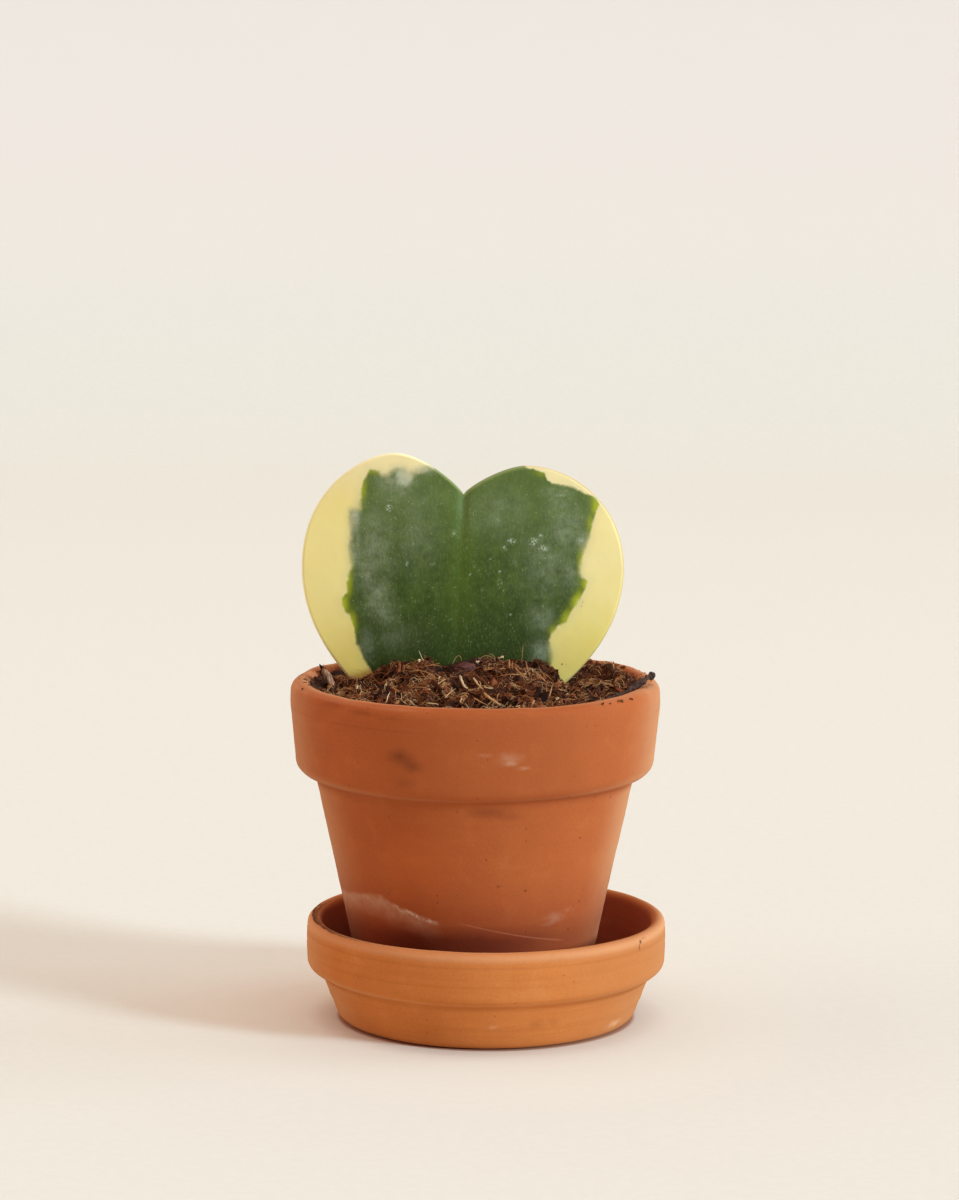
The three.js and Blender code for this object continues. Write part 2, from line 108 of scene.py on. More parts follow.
# Patches of the leaf: centre x, centre z, half width, half height, strength.
BLOOM_PATCHES = [(-27, 40, 2.0, 5, 1.0), (-26.8, 33, 2.2, 6, 0.9), (-24, 27, 3, 5, 0.85),
                 (-21.5, 21, 3.2, 4.5, 0.85), (-19.5, 17, 3, 3.5, 0.6), (-15.0, 50.6, 3.4, 3.6, 1.15),
                 (-18.6, 49.8, 3.4, 2.8, 0.8), (-10.2, 52.9, 3.0, 1.5, 0.95), (-17, 46.5, 5, 4, 0.5),
                 (-13, 44, 7, 5, 0.35), (-12, 37, 6, 9, 0.35), (-17, 11, 5, 3.0, 0.35), (-24, 9, 2, 4, 0.5),
                 (26, 38, 4.5, 6, 0.7), (29, 35.5, 2.2, 3, 0.95), (27, 27.5, 3, 4, 0.65),
                 (19.8, 16, 3, 3.4, 0.75), (20, 7, 2.6, 3.2, 0.95), (21, 30, 7, 9, 0.5),
                 (24, 44, 4, 3, 0.5), (23.5, 47, 4, 1.6, 0.6), (9, 42, 8, 6, 0.42),
                 (31, 18.5, 2.6, 2.8, 0.35), (-22, 34, 5, 9, 0.7)]
LIME_PATCHES = [(-30, 19, 1.8, 2.6, 1.0), (-28.8, 24, 1.3, 4, 0.8), (-27.8, 14.5, 1.5, 3, 0.8),
                (-28.3, 29, 0.9, 2.4, 0.55), (-25.4, 48, 1.2, 3.4, 0.7), (-22.5, 52.4, 2, 1.0, 0.6),
                (30.8, 24.3, 1.4, 1.8, 1.0), (28.6, 20, 2.0, 3.2, 0.95), (26, 15.5, 2.0, 2.8, 0.9),
                (29.6, 30, 1.0, 3, 0.7), (33, 44, 1.3, 2.4, 1.0), (31.6, 39.5, 0.9, 2.6, 0.6),
                (22.6, 12.5, 1.2, 1.8, 0.6), (22.3, 6, 0.8, 3, 0.5), (20, 52, 2.4, 1, 0.4)]
SCALE_PATCHES = [(-18.6, 43.1, 0.9, 0.9, 1.0), (-17, 40.6, 0.5, 0.5, 0.7), (12.0, 34.9, 1.2, 0.8, 1.0),
                 (10.2, 33.2, 1.0, 0.8, 0.9), (17.6, 34.8, 1.4, 1.4, 0.75), (20.0, 33.2, 1.4, 1.0, 0.8),
                 (19.4, 36.4, 0.7, 0.7, 0.7), (28.0, 44.3, 0.35, 0.35, 1.0), (24.4, 46.5, 1.2, 0.6, 0.6),
                 (-13.9, 28.9, 0.35, 0.8, 1.0), (-7.6, 29.1, 0.8, 0.6, 0.7), (1.8, 26.7, 0.3, 0.6, 0.9),
                 (9.3, 27.5, 0.4, 0.7, 0.8), (9.2, 24.6, 0.6, 1.2, 0.7), (6.9, 30.6, 0.5, 0.4, 0.8),
                 (8.6, 40.2, 0.5, 0.8, 0.6), (29.4, 35.3, 1.0, 0.8, 0.8), (11.8, 16.6, 0.4, 0.4, 0.8),
                 (-7.8, 36.7, 0.4, 0.4, 0.6), (-2.4, 37.0, 0.9, 1.0, 0.55), (-27.4, 29.6, 0.5, 1.8, 0.6),
                 (-12.4, 34.5, 0.35, 0.7, 0.6), (-11, 9.6, 0.6, 0.35, 0.6), (-25.5, 26, 0.5, 0.5, 0.6)]
DIRT_SPOTS = [(30.0, 19.7, 0.34, 0.26, 1.0), (29.6, 18.6, 0.22, 0.3, 0.8), (28.4, 13.3, 0.3, 0.2, 0.9),
              (25.0, 4.1, 0.36, 0.3, 1.0), (26.0, 4.0, 0.3, 0.26, 0.9), (25.1, 8.9, 0.4, 0.2, 0.5),
              (21.5, 9.5, 0.5, 0.25, 0.8), (28.1, 17.2, 0.2, 0.2, 0.7), (-9.6, 17.0, 0.5, 0.3, 0.45),
              (19.3, 11.2, 0.3, 0.3, 0.5), (-34.6, 35.2, 0.35, 0.3, 0.35), (33.2, 28.0, 0.25, 0.25, 0.3)]

# The soil's bed: points round each ring, rings over the top, the last ring's radius, the gap left at the
# pot's wall, and the heights of the rings down the wall.
BED_AROUND, BED_RINGS, BED_HOLE, BED_GAP = 340, 150, 0.4, 0.15
BED_DEPTHS = np.array([60.0, 70.0, 76.0])
FIBRE_GAP = 0.7  # between the pot's wall and the nearest fibre
CRUMB_TOP, FIBRE_TOP = 87.5, 88.6  # centres of scattered crumbs, and all of a fibre, stay below these
SOIL_SHAPE = {"edge": 79.6, "mound": 5.5, "x": -2.0, "half_width": 22.0, "y": 2.0, "front": 25.0,
              "back": 13.0, "hill": (-31.0, 4.0), "hill_radius": 9.0, "hill_height": 1.3,
              "right_rise": 0.8, "ripple": 0.35, "settled": 1.5,
              "heaps": [(33.0, 17.0, 6.5, 6.5, 3.4), (37.5, 9.0, 4.0, 5.0, 2.2), (17.0, 4.0, 2.6, 2.6, 1.6),
                        (22.6, 5.2, 3.0, 3.0, -2.8), (-12.0, -24.0, 8.0, 6.0, 0.9),
                        (10.0, -26.0, 9.0, 6.0, 1.1), (-1.0, -18.0, 3.5, 5.0, -1.2),
                        (-22.0, -12.0, 8.0, 6.0, -0.8), (-2.0, 2.0, 5.0, 4.0, 1.3),
                        (-24.0, 5.0, 5.0, 4.0, 1.0), (-9.0, 0.6, 3.6, 3.0, 1.5), (3.0, 0.0, 4.0, 3.0, 0.4),
                        (-18.0, -26.0, 3.0, 3.2, 1.7)]}  # a heap: centre, half sizes and height
# Room left round the loose bark, so that it shows: margin round its box, and how far its low corner moves.
CLEARINGS = {"bark_sliver": (0.1, (5.6, 6.5, 0.5)), "wood_chip": (0.6, (0, -1.2, 0)),
             "bark_nugget": (0.7, (0, -5.4, -3.2))}
SLIVER_LINE = [(31.6, -23.3, 78.9), (36.6, -17.6, 80.2), (40.3, -12.4, 81.7), (42.4, -9.0, 82.5),
               (44.3, -5.2, 82.9)]
NUGGET_SHIFT = np.array([0.3, -4.4, -1.5])  # from its CAD box, forwards and into the soil
# Sorts of crumb: piece, count, smallest and largest radius, bias to small, roughness, tone, lift, fineness.
CRUMB_SORTS = [("soil_crumbs", 9400, 0.11, 0.46, 2.2, 0.34, 0.76, 0.3, 0),
               ("soil_clods", 560, 0.5, 1.25, 2.2, 0.5, 0.42, -0.3, 1)]
# Sorts of fibre: piece, count, then ranges of length, radius and rise, curl, steps, and range of tone.
FIBRE_SORTS = [("coir_curls", 2300, (1.6, 5.0), (0.05, 0.12), (-0.1, 0.7), 0.42, 8, (0.2, 0.80)),
               ("coir_strands", 1000, (3.0, 9.0), (0.045, 0.11), (0.2, 1.5), 0.24, 11, (0.5, 1.05)),
               ("straws", 70, (2.0, 5.0), (0.10, 0.20), (0.3, 1.0), 0.05, 5, (0.74, 1.0))]
SEEDS = {"noise": 7, "crumbs": 21, "pale_grains": 77, "rim": 91, "fibres": 34, "hairs": 48, "tufts": 63,
         "grains": 12, "flakes": 55}

# Bits of the soil that stand out, from the pot's axis and base: radius, tone, and points along each.
STAND_OUTS = [
    (0.09, 0.97, [(-12.9, 1.1, 84.6), (-13.6, 1.1, 86.3), (-14.2, 1.0, 87.8)]),
    (0.06, 0.75, [(11.5, 2.6, 84.2), (11.8, 2.4, 87.5), (11.9, 2.4, 89.4)]),
    (0.07, 0.80, [(-5.8, 0.8, 83.9), (-5.1, 0.8, 85.5), (-4.3, 0.9, 86.5), (-3.6, 1.0, 86.0),
                  (-3.3, 1.0, 84.4)]),
    (0.07, 0.78, [(0.4, 1.2, 84.4), (1.6, 1.2, 86.0), (3.1, 1.2, 86.4), (4.4, 1.0, 85.7), (5.1, 1.0, 84.9)]),
    (0.32, 0.92, [(-3.8, -12.0, 83.4), (-3.2, -13.3, 81.8), (-2.5, -14.6, 80.7), (-1.3, -14.6, 80.4)]),
    (0.26, 0.88, [(-0.4, -11.8, 82.7), (0.5, -13.5, 81.7), (1.5, -17.5, 81.2), (2.2, -21.5, 81.3)]),
    (0.40, 0.86, [(2.2, -27.0, 81.5), (3.3, -29.5, 80.9), (4.6, -30.9, 80.2), (6.6, -32.0, 79.4)]),
    (0.16, 0.88, [(0.7, -18.3, 81.0), (1.4, -13.4, 81.5), (0.9, -12.0, 82.3)]),
    (0.18, 0.97, [(2.2, -18.2, 81.6), (3.4, -20.9, 81.7), (4.6, -20.4, 81.7)]),
    (0.22, 0.92, [(-1.6, -14.6, 80.2), (-0.5, -18.1, 80.7)]),
    (0.20, 0.84, [(-11.7, -31.2, 79.8), (-9.9, -31.0, 79.6), (-8.6, -31.0, 79.3)]),
    (0.24, 0.88, [(-3.2, -28.2, 81.0), (-3.6, -30.3, 79.4)]),
    (0.16, 0.84, [(-2.7, -28.8, 80.6), (-3.1, -31.0, 79.2)]),
    (0.10, 0.98, [(-20.7, -26.8, 81.6), (-21.1, -28.2, 80.9), (-21.4, -30.6, 79.8)]),
    (0.42, 0.50, [(-18.9, -3.6, 82.4), (-18.8, -3.4, 84.0), (-18.7, -3.2, 85.5)]),
    (0.34, 0.46, [(-17.9, -3.9, 82.4), (-17.8, -3.7, 83.8), (-17.9, -3.5, 84.8)]),
    (0.10, 0.80, [(-16.4, -6.4, 83.3), (-13.7, -7.4, 83.9), (-11.2, -9.5, 83.5), (-9.4, -15.0, 83.0)]),
    (0.08, 0.76, [(-14.4, -9.2, 82.5), (-11.6, -11.6, 83.0), (-9.1, -15.4, 82.4)]),
    (0.10, 0.70, [(-12.8, -5.2, 84.3), (-10.5, -5.4, 85.0), (-8.3, -5.4, 85.4)]),
    (0.09, 0.68, [(-12.4, -5.6, 84.8), (-10.0, -5.8, 84.9), (-7.9, -5.5, 84.6)]),
    (0.11, 0.80, [(-10.5, -21.5, 81.8), (-8.6, -17.0, 82.5), (-6.7, -13.4, 83.0)]),
    (0.09, 0.74, [(-9.5, -21.7, 81.1), (-7.8, -20.2, 82.1), (-5.7, -15.3, 82.2)]),
    (0.12, 0.82, [(-7.3, -27.3, 80.4), (-6.1, -21.5, 80.8), (-4.5, -16.0, 81.0)]),
    (0.14, 0.80, [(-0.3, -28.2, 80.6), (1.2, -30.4, 80.0), (3.2, -31.8, 79.4)]),
    (0.30, 0.72, [(8.6, -4.4, 82.9), (8.4, -3.8, 84.8), (8.3, -3.2, 86.2)]),
    (0.24, 0.60, [(9.3, -4.6, 82.9), (9.1, -4.0, 84.4), (9.2, -3.4, 85.9)]),
    (0.16, 0.66, [(12.8, -4.4, 83.4), (12.7, -4.2, 84.8), (12.5, -3.9, 86.0)]),
    (0.16, 0.80, [(15.0, -6.2, 83.2), (16.4, -12.0, 83.0), (17.8, -16.5, 82.0)]),
    (0.14, 0.66, [(16.1, -4.3, 83.2), (17.7, -8.5, 82.9), (19.2, -14.4, 82.5)]),
    (0.16, 0.72, [(17.9, -26.6, 80.5), (18.6, -19.0, 81.2), (19.1, -13.5, 82.1)]),
    (0.14, 0.62, [(16.9, -28.1, 80.2), (17.5, -20.1, 81.1), (17.3, -16.6, 82.5)]),
    (0.14, 0.74, [(2.6, -7.9, 84.1), (5.1, -7.3, 84.4), (7.6, -7.4, 84.3)]),
    (0.16, 0.70, [(6.1, -10.5, 83.1), (8.8, -11.5, 83.7), (11.8, -10.6, 83.3)]),
    (0.12, 0.76, [(9.8, -7.6, 84.6), (11.3, -10.2, 83.5), (13.5, -12.2, 82.8)])]
# Grains that stand out: radius, tone and place.
STAND_OUT_GRAINS = [(0.42, 1.0, (-14.0, 0.7, 85.0)), (0.50, 0.97, (0.6, -0.3, 84.9)),
                    (0.34, 1.0, (-0.9, -15.6, 80.2)), (0.44, 0.98, (6.6, 1.2, 85.9)),
                    (0.75, 0.86, (30.6, 0.6, 79.7)), (0.30, 0.98, (3.0, -21.0, 79.6)),
                    (0.36, 0.95, (-29.0, -14.0, 80.6)), (0.28, 0.95, (20.0, -24.0, 79.8))]
# Clumps on the pot's rim, from its axis and base: size and place.
RIM_CLUMPS = [(0.42, 35.9, -28.4, 80.9), (0.34, 38.6, -24.7, 80.9), (0.30, 31.3, -33.3, 80.8),
              (0.20, 33.2, -31.6, 80.8), (0.52, 34.4, 24.2, 80.9), (0.50, 37.4, 19.2, 81.0),
              (0.40, 33.2, 25.9, 80.8), (0.42, 36.0, 22.0, 80.8), (0.40, -42.4, -2.0, 80.7),
              (0.30, -42.0, -7.5, 80.6), (0.34, -41.0, -11.0, 80.7), (0.24, -42.8, -14.4, 80.8)]

# ---- camera and light ----

FRAME_PIXELS = (959, 1200)
FOCAL_PIXELS = 4200.0
ORIGIN_PIXEL = (485.8, 1014.0)
CAMERA_DEPTH = 1.058  # from the lens to the saucer's middle, along the view
CAMERA_PITCH = np.radians(8.4)
CAMERA_ROLL = 0.0055
SENSOR = 36.0

COOL, WARM = (0.61, 0.84, 1.0), (1.0, 0.83, 0.745)
SUNS = [  # name, azimuth, elevation, spread, strength, colour
    ("window", 62, 17, 12, 3.3, COOL),
    ("window_glow", 100, 20, 40, 1.2, COOL),
    ("left_wall", -100, 28, 70, 0.90, WARM),
    ("ceiling", 0, 88, 56, 1.14, WARM),
    ("back_wall", 172, 32, 70, 0.42, WARM),
]
ROOM_STRENGTH = 0.38


def add_camera():
    """A camera whose view puts the origin on ORIGIN_PIXEL: its place is the origin moved back by the depth
    along the view and aside by the pixel's offset from the middle, times depth over focal length."""
    half_w, half_h = FRAME_PIXELS[0] / 2, FRAME_PIXELS[1] / 2
    dx, dy = ORIGIN_PIXEL[0] - half_w, ORIGIN_PIXEL[1] - half_h
    level_dx, level_dy = dx + CAMERA_ROLL * dy, dy - CAMERA_ROLL * dx
    side = level_dx / FOCAL_PIXELS * CAMERA_DEPTH
    lift = -level_dy / FOCAL_PIXELS * CAMERA_DEPTH
    right = Vector((1, 0, 0))
    up = Vector((0, np.sin(CAMERA_PITCH), np.cos(CAMERA_PITCH)))
    view = Vector((0, np.cos(CAMERA_PITCH), -np.sin(CAMERA_PITCH)))
    data = bpy.data.cameras.new("camera")
    data.sensor_width = SENSOR
    data.lens = FOCAL_PIXELS / max(FRAME_PIXELS) * SENSOR
    data.clip_start, data.clip_end = 0.05, 30.0
    camera = bpy.data.objects.new("camera", data)
    turn = Matrix((right, up, -view)).transposed() @ Matrix.Rotation(CAMERA_ROLL, 3, "Z")
    place = -(side * right + lift * up + CAMERA_DEPTH * view)
    camera.matrix_world = Matrix.Translation(place) @ turn.to_4x4()
    bpy.context.scene.collection.objects.link(camera)
    bpy.context.scene.camera = camera


def add_sun(name, azimuth, elevation, spread, strength, colour):
    """A far light, azimuth degrees to the right of the camera's side and elevation degrees up. spread is how
    wide it looks from the plant, in degrees."""
    data = bpy.data.lights.new(name, "SUN")
    data.angle = np.radians(spread)
    data.energy = strength
    data.color = colour
    light = bpy.data.objects.new(name, data)
    turn, lift = np.radians((azimuth, elevation))
    toward = Vector((np.sin(turn) * np.cos(lift), -np.cos(turn) * np.cos(lift), np.sin(lift)))
    light.matrix_world = toward.to_track_quat("Z", "Y").to_matrix().to_4x4()
    bpy.context.scene.collection.objects.link(light)


def add_lights():
    """A cool, soft window light from the front right, and a warm room round it."""
    for name, azimuth, elevation, spread, strength, colour in SUNS:
        add_sun(name, azimuth, elevation, spread, strength, colour)
    world = bpy.data.worlds.new("studio")
    world.use_nodes = True
    background = world.node_tree.nodes["Background"]
    background.inputs["Color"].default_value = (*WARM, 1.0)
    background.inputs["Strength"].default_value = ROOM_STRENGTH
    bpy.context.scene.world = world
    bpy.context.scene.view_settings.view_transform = "Standard"


# ---- meshes from arrays ----

def mesh_piece(name, points, quads, triangles, material, slot, node=None, smooth=True, **attributes):
    """Adds a piece made of points in millimetres from the row's origin, four-cornered faces and
    three-cornered faces, with any number of float attributes, one value for each point."""
    quads = np.asarray(quads, np.int32).reshape(-1, 4)
    triangles = np.asarray(triangles, np.int32).reshape(-1, 3)
    corners = np.concatenate([quads.ravel(), triangles.ravel()])
    sizes = np.concatenate([np.full(len(quads), 4), np.full(len(triangles), 3)])
    mesh = bpy.data.meshes.new(name)
    mesh.vertices.add(len(points))
    mesh.vertices.foreach_set("co", (np.asarray(points) * MM).astype(np.float32).ravel())
    mesh.loops.add(len(corners))
    mesh.loops.foreach_set("vertex_index", corners)
    mesh.polygons.add(len(sizes))
    mesh.polygons.foreach_set("loop_start", np.concatenate([[0], np.cumsum(sizes)[:-1]]))
    mesh.polygons.foreach_set("use_smooth", np.full(len(sizes), smooth))
    mesh.update(calc_edges=True)
    for key, values in attributes.items():
        mesh.attributes.new(key, "FLOAT", "POINT").data.foreach_set("value", values.astype(np.float32))
    mesh.materials.append(material)
    piece = bpy.data.objects.new(name, mesh)
    bpy.context.scene.collection.objects.link(piece)
    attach(piece, BODY)
    if node:
        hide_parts(node)


def skin_faces(rows, columns, loop=False):
    """Faces of a grid of rings, each ring closed on itself: corners (i, j), (i, j+1), (i+1, j+1), (i+1, j).
    With loop, the last ring joins the first."""
    i = np.arange(rows if loop else rows - 1)[:, None]
    j = np.arange(columns)[None, :]
    low, high = i * columns, (i + 1) % rows * columns
    nxt = (j + 1) % columns
    return np.stack([low + j, low + nxt, high + nxt, high + j], -1).reshape(-1, 4)


def pole_faces(rows, columns):
    """Fans that close a grid of rings at both ends, on two points that follow the grid's own."""
    j = np.arange(columns)
    nxt = (j + 1) % columns
    top = (rows - 1) * columns
    first, last = rows * columns, rows * columns + 1
    low = np.stack([np.full(columns, first), nxt, j], -1)
    high = np.stack([top + j, top + nxt, np.full(columns, last)], -1)
    return np.concatenate([low, high])


NOISE_SIZE = 32
RANDOM_CORNERS = np.random.default_rng(SEEDS["noise"]).random((NOISE_SIZE,) * 3)


def lattice_noise(points, cell):
    """Smooth noise from -1 to 1: random values at the corners of cubes of side cell, eased between them by
    3 t squared less 2 t cubed."""
    scaled = np.asarray(points) / cell
    low = np.floor(scaled).astype(int)
    t = scaled - low
    t = t * t * (3 - 2 * t)
    total = np.zeros(scaled.shape[:-1])
    for corner in np.ndindex(2, 2, 2):
        index = (low + corner) % NOISE_SIZE
        weight = np.prod(np.where(corner, t, 1 - t), axis=-1)
        total += weight * RANDOM_CORNERS[index[..., 0], index[..., 1], index[..., 2]]
    return 2 * total - 1


def layered_noise(points, cell, layers):
    """Noise in layers, each half as wide and half as strong as the one before."""
    points = np.asarray(points)
    return sum(lattice_noise(points + 17.3 * k, cell / 2 ** k) / 2 ** k for k in range(layers))


def resampled(points, step):
    """Points along a line of straight stretches, about one every step, spaced evenly by length."""
    points = np.asarray(points, float)
    reach = np.concatenate([[0], np.cumsum(np.linalg.norm(np.diff(points, axis=0), axis=1))])
    wanted = np.linspace(0, reach[-1], int(np.ceil(reach[-1] / step)) + 1)
    return np.stack([np.interp(wanted, reach, points[:, k]) for k in range(points.shape[1])], -1)


def softened(points, passes):
    """A line with each inner point moved towards its neighbours' middle, so that corners are rounded."""
    points = points.copy()
    for _ in range(passes):
        points[1:-1] = (points[:-2] + 2 * points[1:-1] + points[2:]) / 4
    return points


def arc(centre_r, centre_z, radius, start, end, steps=10):
    """Profile points (r, z) at centre plus radius times (cos, sin) of angles from start to end, in
    degrees."""
    angle = np.radians(np.linspace(start, end, steps))
    return list(zip(centre_r + radius * np.cos(angle), centre_z + radius * np.sin(angle)))


# ---- clay ----

def turned(profile, sides, axis, relief):
    """A profile (r, z) turned round an axis: x = r cos a, y = r sin a. relief gives, for each point, how far
    it moves along the profile's own normal (dz, -dr)."""
    slope = np.gradient(profile, axis=0)
    normal = np.stack([slope[:, 1], -slope[:, 0]], -1)
    normal /= np.linalg.norm(normal, axis=1, keepdims=True)
    angle = np.linspace(0, 2 * np.pi, sides, endpoint=False)
    ring = np.stack([np.cos(angle), np.sin(angle)], -1)
    flat = np.concatenate([profile[:, None, :1] * ring[None], np.repeat(profile[:, None, 1:], sides, 1)], -1)
    push = relief(flat)
    r = profile[:, None, 0] + push * normal[:, None, 0]
    z = profile[:, None, 1] + push * normal[:, None, 1]
    points = np.stack([r * ring[:, 0], r * ring[:, 1], z], -1)
    return points + axis


def turning_marks(points, pitch, depth):
    """Fine level rings left by the forming tool: noise of the height alone, with a slow drift round the
    axis."""
    z = points[..., 2]
    drift = 0.25 * np.sin(np.arctan2(points[..., 1], points[..., 0]) + 0.11 * z)
    rings = np.stack([0 * z, 0 * z + 3.7, z + drift], -1)
    return depth * layered_noise(rings, pitch, 2)


def grooves(height, lines):
    """How far the surface moves at level grooves: for each, less its depth times exp of less the squared
    distance from its height over its half width."""
    return -sum(depth * np.exp(-((height - level) / width) ** 2) for level, depth, width in lines)


def skin_within(profile, sides):
    """How far inside the vessel each point of a turned skin is: 0.2 at the top of the lip, 1 from four rings
    past it, and 0 before it."""
    past_lip = np.arange(len(profile)) - profile[:, 1].argmax()
    return np.repeat(np.clip(past_lip / 4 + 0.2, 0, 1), sides)


def pot_profile():
    """The pot's section: drain hole, base, wall, collar, round lip, inner wall and floor."""
    p = POT_WALL
    step = p["collar_low"] - p["collar_drop"]
    return np.array([
        (p["drain"], 0.0), (p["base"], 0.0), (p["base"] + 0.8, 0.9), (p["neck"], p["neck_z"]),
        (p["neck"] + 0.7, p["neck_z"] + 1.0), *arc(step, p["collar_z"], p["collar_drop"], -66, 0),
        (POT_RADIUS, p["widest_z"]),
        *arc(LIP_CENTRE, POT_HEIGHT - p["lip"], p["lip"], 0, 90),
        *arc(INNER_LIP_CENTRE, POT_HEIGHT - p["inner_lip"], p["inner_lip"], 90, 180),
        (p["inner_foot"], p["inner_foot_z"]), (p["inner_floor"], p["floor"]), (p["drain"], p["floor"]),
        (p["drain"], 0.0)])


def add_pot(material):
    """The pot, a section closed on itself and turned round its axis, with a slightly uneven lip."""
    profile = softened(resampled(pot_profile(), CLAY_STEP), 2)[:-1]

    def relief(points):
        wave = 0.16 * lattice_noise(points, 26.0) + 0.05 * layered_noise(points, 6.0, 2)
        height = points[..., 2]
        dents = 0.22 * layered_noise(points + 40, 7.0, 2) * np.exp(-((height - POT_HEIGHT) / 1.6) ** 2)
        outside = np.hypot(points[..., 0], points[..., 1]) > POT_OUTSIDE
        here = np.clip(0.35 + 1.3 * layered_noise(points * [1, 1, 0.3] + 5, 10.0, 2), 0, 1)
        scored = grooves(height, POT_GROOVES) * outside * here
        return wave * np.clip(height / 3, 0, 1) + dents + turning_marks(points, 1.5, 0.028) + scored

    points = turned(profile, CLAY_SIDES, POT_AXIS, relief)
    mesh_piece("pot_clay", points.reshape(-1, 3), skin_faces(*points.shape[:2], True), [], material,
               "terracotta_pot", "pot", within=skin_within(profile, CLAY_SIDES))


def saucer_profile():
    """The saucer's section: base, foot, wall, band, round lip, inner wall and floor."""
    s = SAUCER_WALL
    lip_centre = SAUCER_RADIUS - LIP_TUCK - s["lip"]
    step = s["band_low"] - s["band_drop"]
    return np.array([
        (0.6, 0.0), (s["base"], 0.0), (s["base"] + 1.5, 0.45), (s["foot"], s["foot_z"]),
        (s["neck"] - 0.5, s["neck_z"] - 1.1), (s["neck"], s["neck_z"]),
        *arc(step, s["band_z"], s["band_drop"], -68, 0), (SAUCER_RADIUS, s["middle_z"]),
        *arc(lip_centre, SAUCER_HEIGHT - s["lip"], s["lip"], 0, 180, 20),
        (s["inner_low"], s["floor"] + s["corner"]), (s["floor_radius"] + 2.2, s["floor"] + 1.0),
        (s["floor_radius"], s["floor"]), (0.6, s["floor"])])


def add_saucer(material):
    """The saucer, a section turned round its axis and closed by a point at each end."""
    profile = softened(resampled(saucer_profile(), CLAY_STEP), 2)

    def relief(points):
        radius = np.hypot(points[..., 0], points[..., 1])
        height = points[..., 2]
        wave = 0.14 * lattice_noise(points + 9, 24.0) + 0.04 * layered_noise(points, 5.0, 2)
        inside = (radius < 42.8) & (height > 4.0)
        rings = turning_marks(points, 1.6, np.where(inside, 0.07, 0.03))
        cut = grooves(height, SAUCER_GROOVES) * (radius > SAUCER_OUTSIDE)
        standing = (height > 0.3) & ~((height < 5.6) & (radius < 34.0))
        return (wave + rings + cut) * standing

    points = turned(profile, CLAY_SIDES, np.zeros(3), relief)
    rows, columns = points.shape[:2]
    ends = np.array([[0, 0, points[0, 0, 2]], [0, 0, points[-1, 0, 2]]])
    within = np.concatenate([skin_within(profile, columns), [0.0, 1.0]])
    mesh_piece("saucer_clay", np.concatenate([points.reshape(-1, 3), ends]), skin_faces(rows, columns),
               pole_faces(rows, columns), material, "terracotta_saucer", "saucer", within=within)


# ---- leaf ----

def cubic(corners, count):
    """Points of a cubic curve: (1-t)^3 a + 3 (1-t)^2 t b + 3 (1-t) t^2 c + t^3 d, without the last."""
    a, b, c, d = np.array(corners, float)
    t = np.linspace(0, 1, count, endpoint=False)[:, None]
    return (1 - t) ** 3 * a + 3 * (1 - t) ** 2 * t * b + 3 * (1 - t) * t ** 2 * c + t ** 3 * d


def leaf_outline():
    """The heart's outline, evenly spaced, with the notch as its first point."""
    dense = np.concatenate([cubic(curve, 200) for curve in HEART] + [np.array([HEART[0][0]])])
    step = np.linalg.norm(np.diff(dense, axis=0), axis=1).sum() / LEAF_AROUND
    return resampled(dense, step)[:LEAF_AROUND]


def midrib_offset(x, z):
    """How far a point of the leaf's plane lies to the right of the midrib."""
    return x - (MIDRIB_FOOT + MIDRIB_LEAN * z)


def leaf_back(x, z):
    """How far the leaf's middle surface lies back: the cup times the square of the distance from the
    midrib over the cup's reach."""
    return LEAF_CUP * (midrib_offset(x, z) / LEAF_CUP_REACH) ** 2


def signed_depth(points, outline):
    """Distance from each point to a closed outline, positive inside: the nearest of its straight stretches,
    and inside where a level line to the right crosses it an odd number of times."""
    a = np.asarray(outline, float)
    b = np.roll(a, -1, axis=0)
    nearest = np.full(len(points), 1e9)
    inside = np.zeros(len(points), bool)
    for start, end in zip(a, b):
        along = end - start
        t = np.clip((points - start) @ along / (along @ along), 0, 1)
        nearest = np.minimum(nearest, np.linalg.norm(points - start - t[:, None] * along, axis=1))
        crosses = (start[1] > points[:, 1]) != (end[1] > points[:, 1])
        rise = np.where(along[1] == 0, 1e-9, along[1])
        inside ^= crosses & (points[:, 0] < start[0] + along[0] * (points[:, 1] - start[1]) / rise)
    return np.where(inside, nearest, -nearest)


def patches(x, z, spots):
    """The strongest of several soft round patches: strength times exp of less the squared, scaled
    distance."""
    total = np.zeros_like(x)
    for centre_x, centre_z, half_x, half_z, strength in spots:
        reach = ((x - centre_x) / half_x) ** 2 + ((z - centre_z) / half_z) ** 2
        total = np.maximum(total, strength * np.exp(-reach))
    return total


def placed_leaf(points):
    """Leaf points (x, y, z) leaned back about X and moved to where the leaf stands."""
    cosine, sine = np.cos(LEAF_LEAN), np.sin(LEAF_LEAN)
    x, y, z = points[..., 0], points[..., 1], points[..., 2]
    return np.stack([x, y * cosine + z * sine, z * cosine - y * sine], -1) + LEAF_PLACE + POT_AXIS


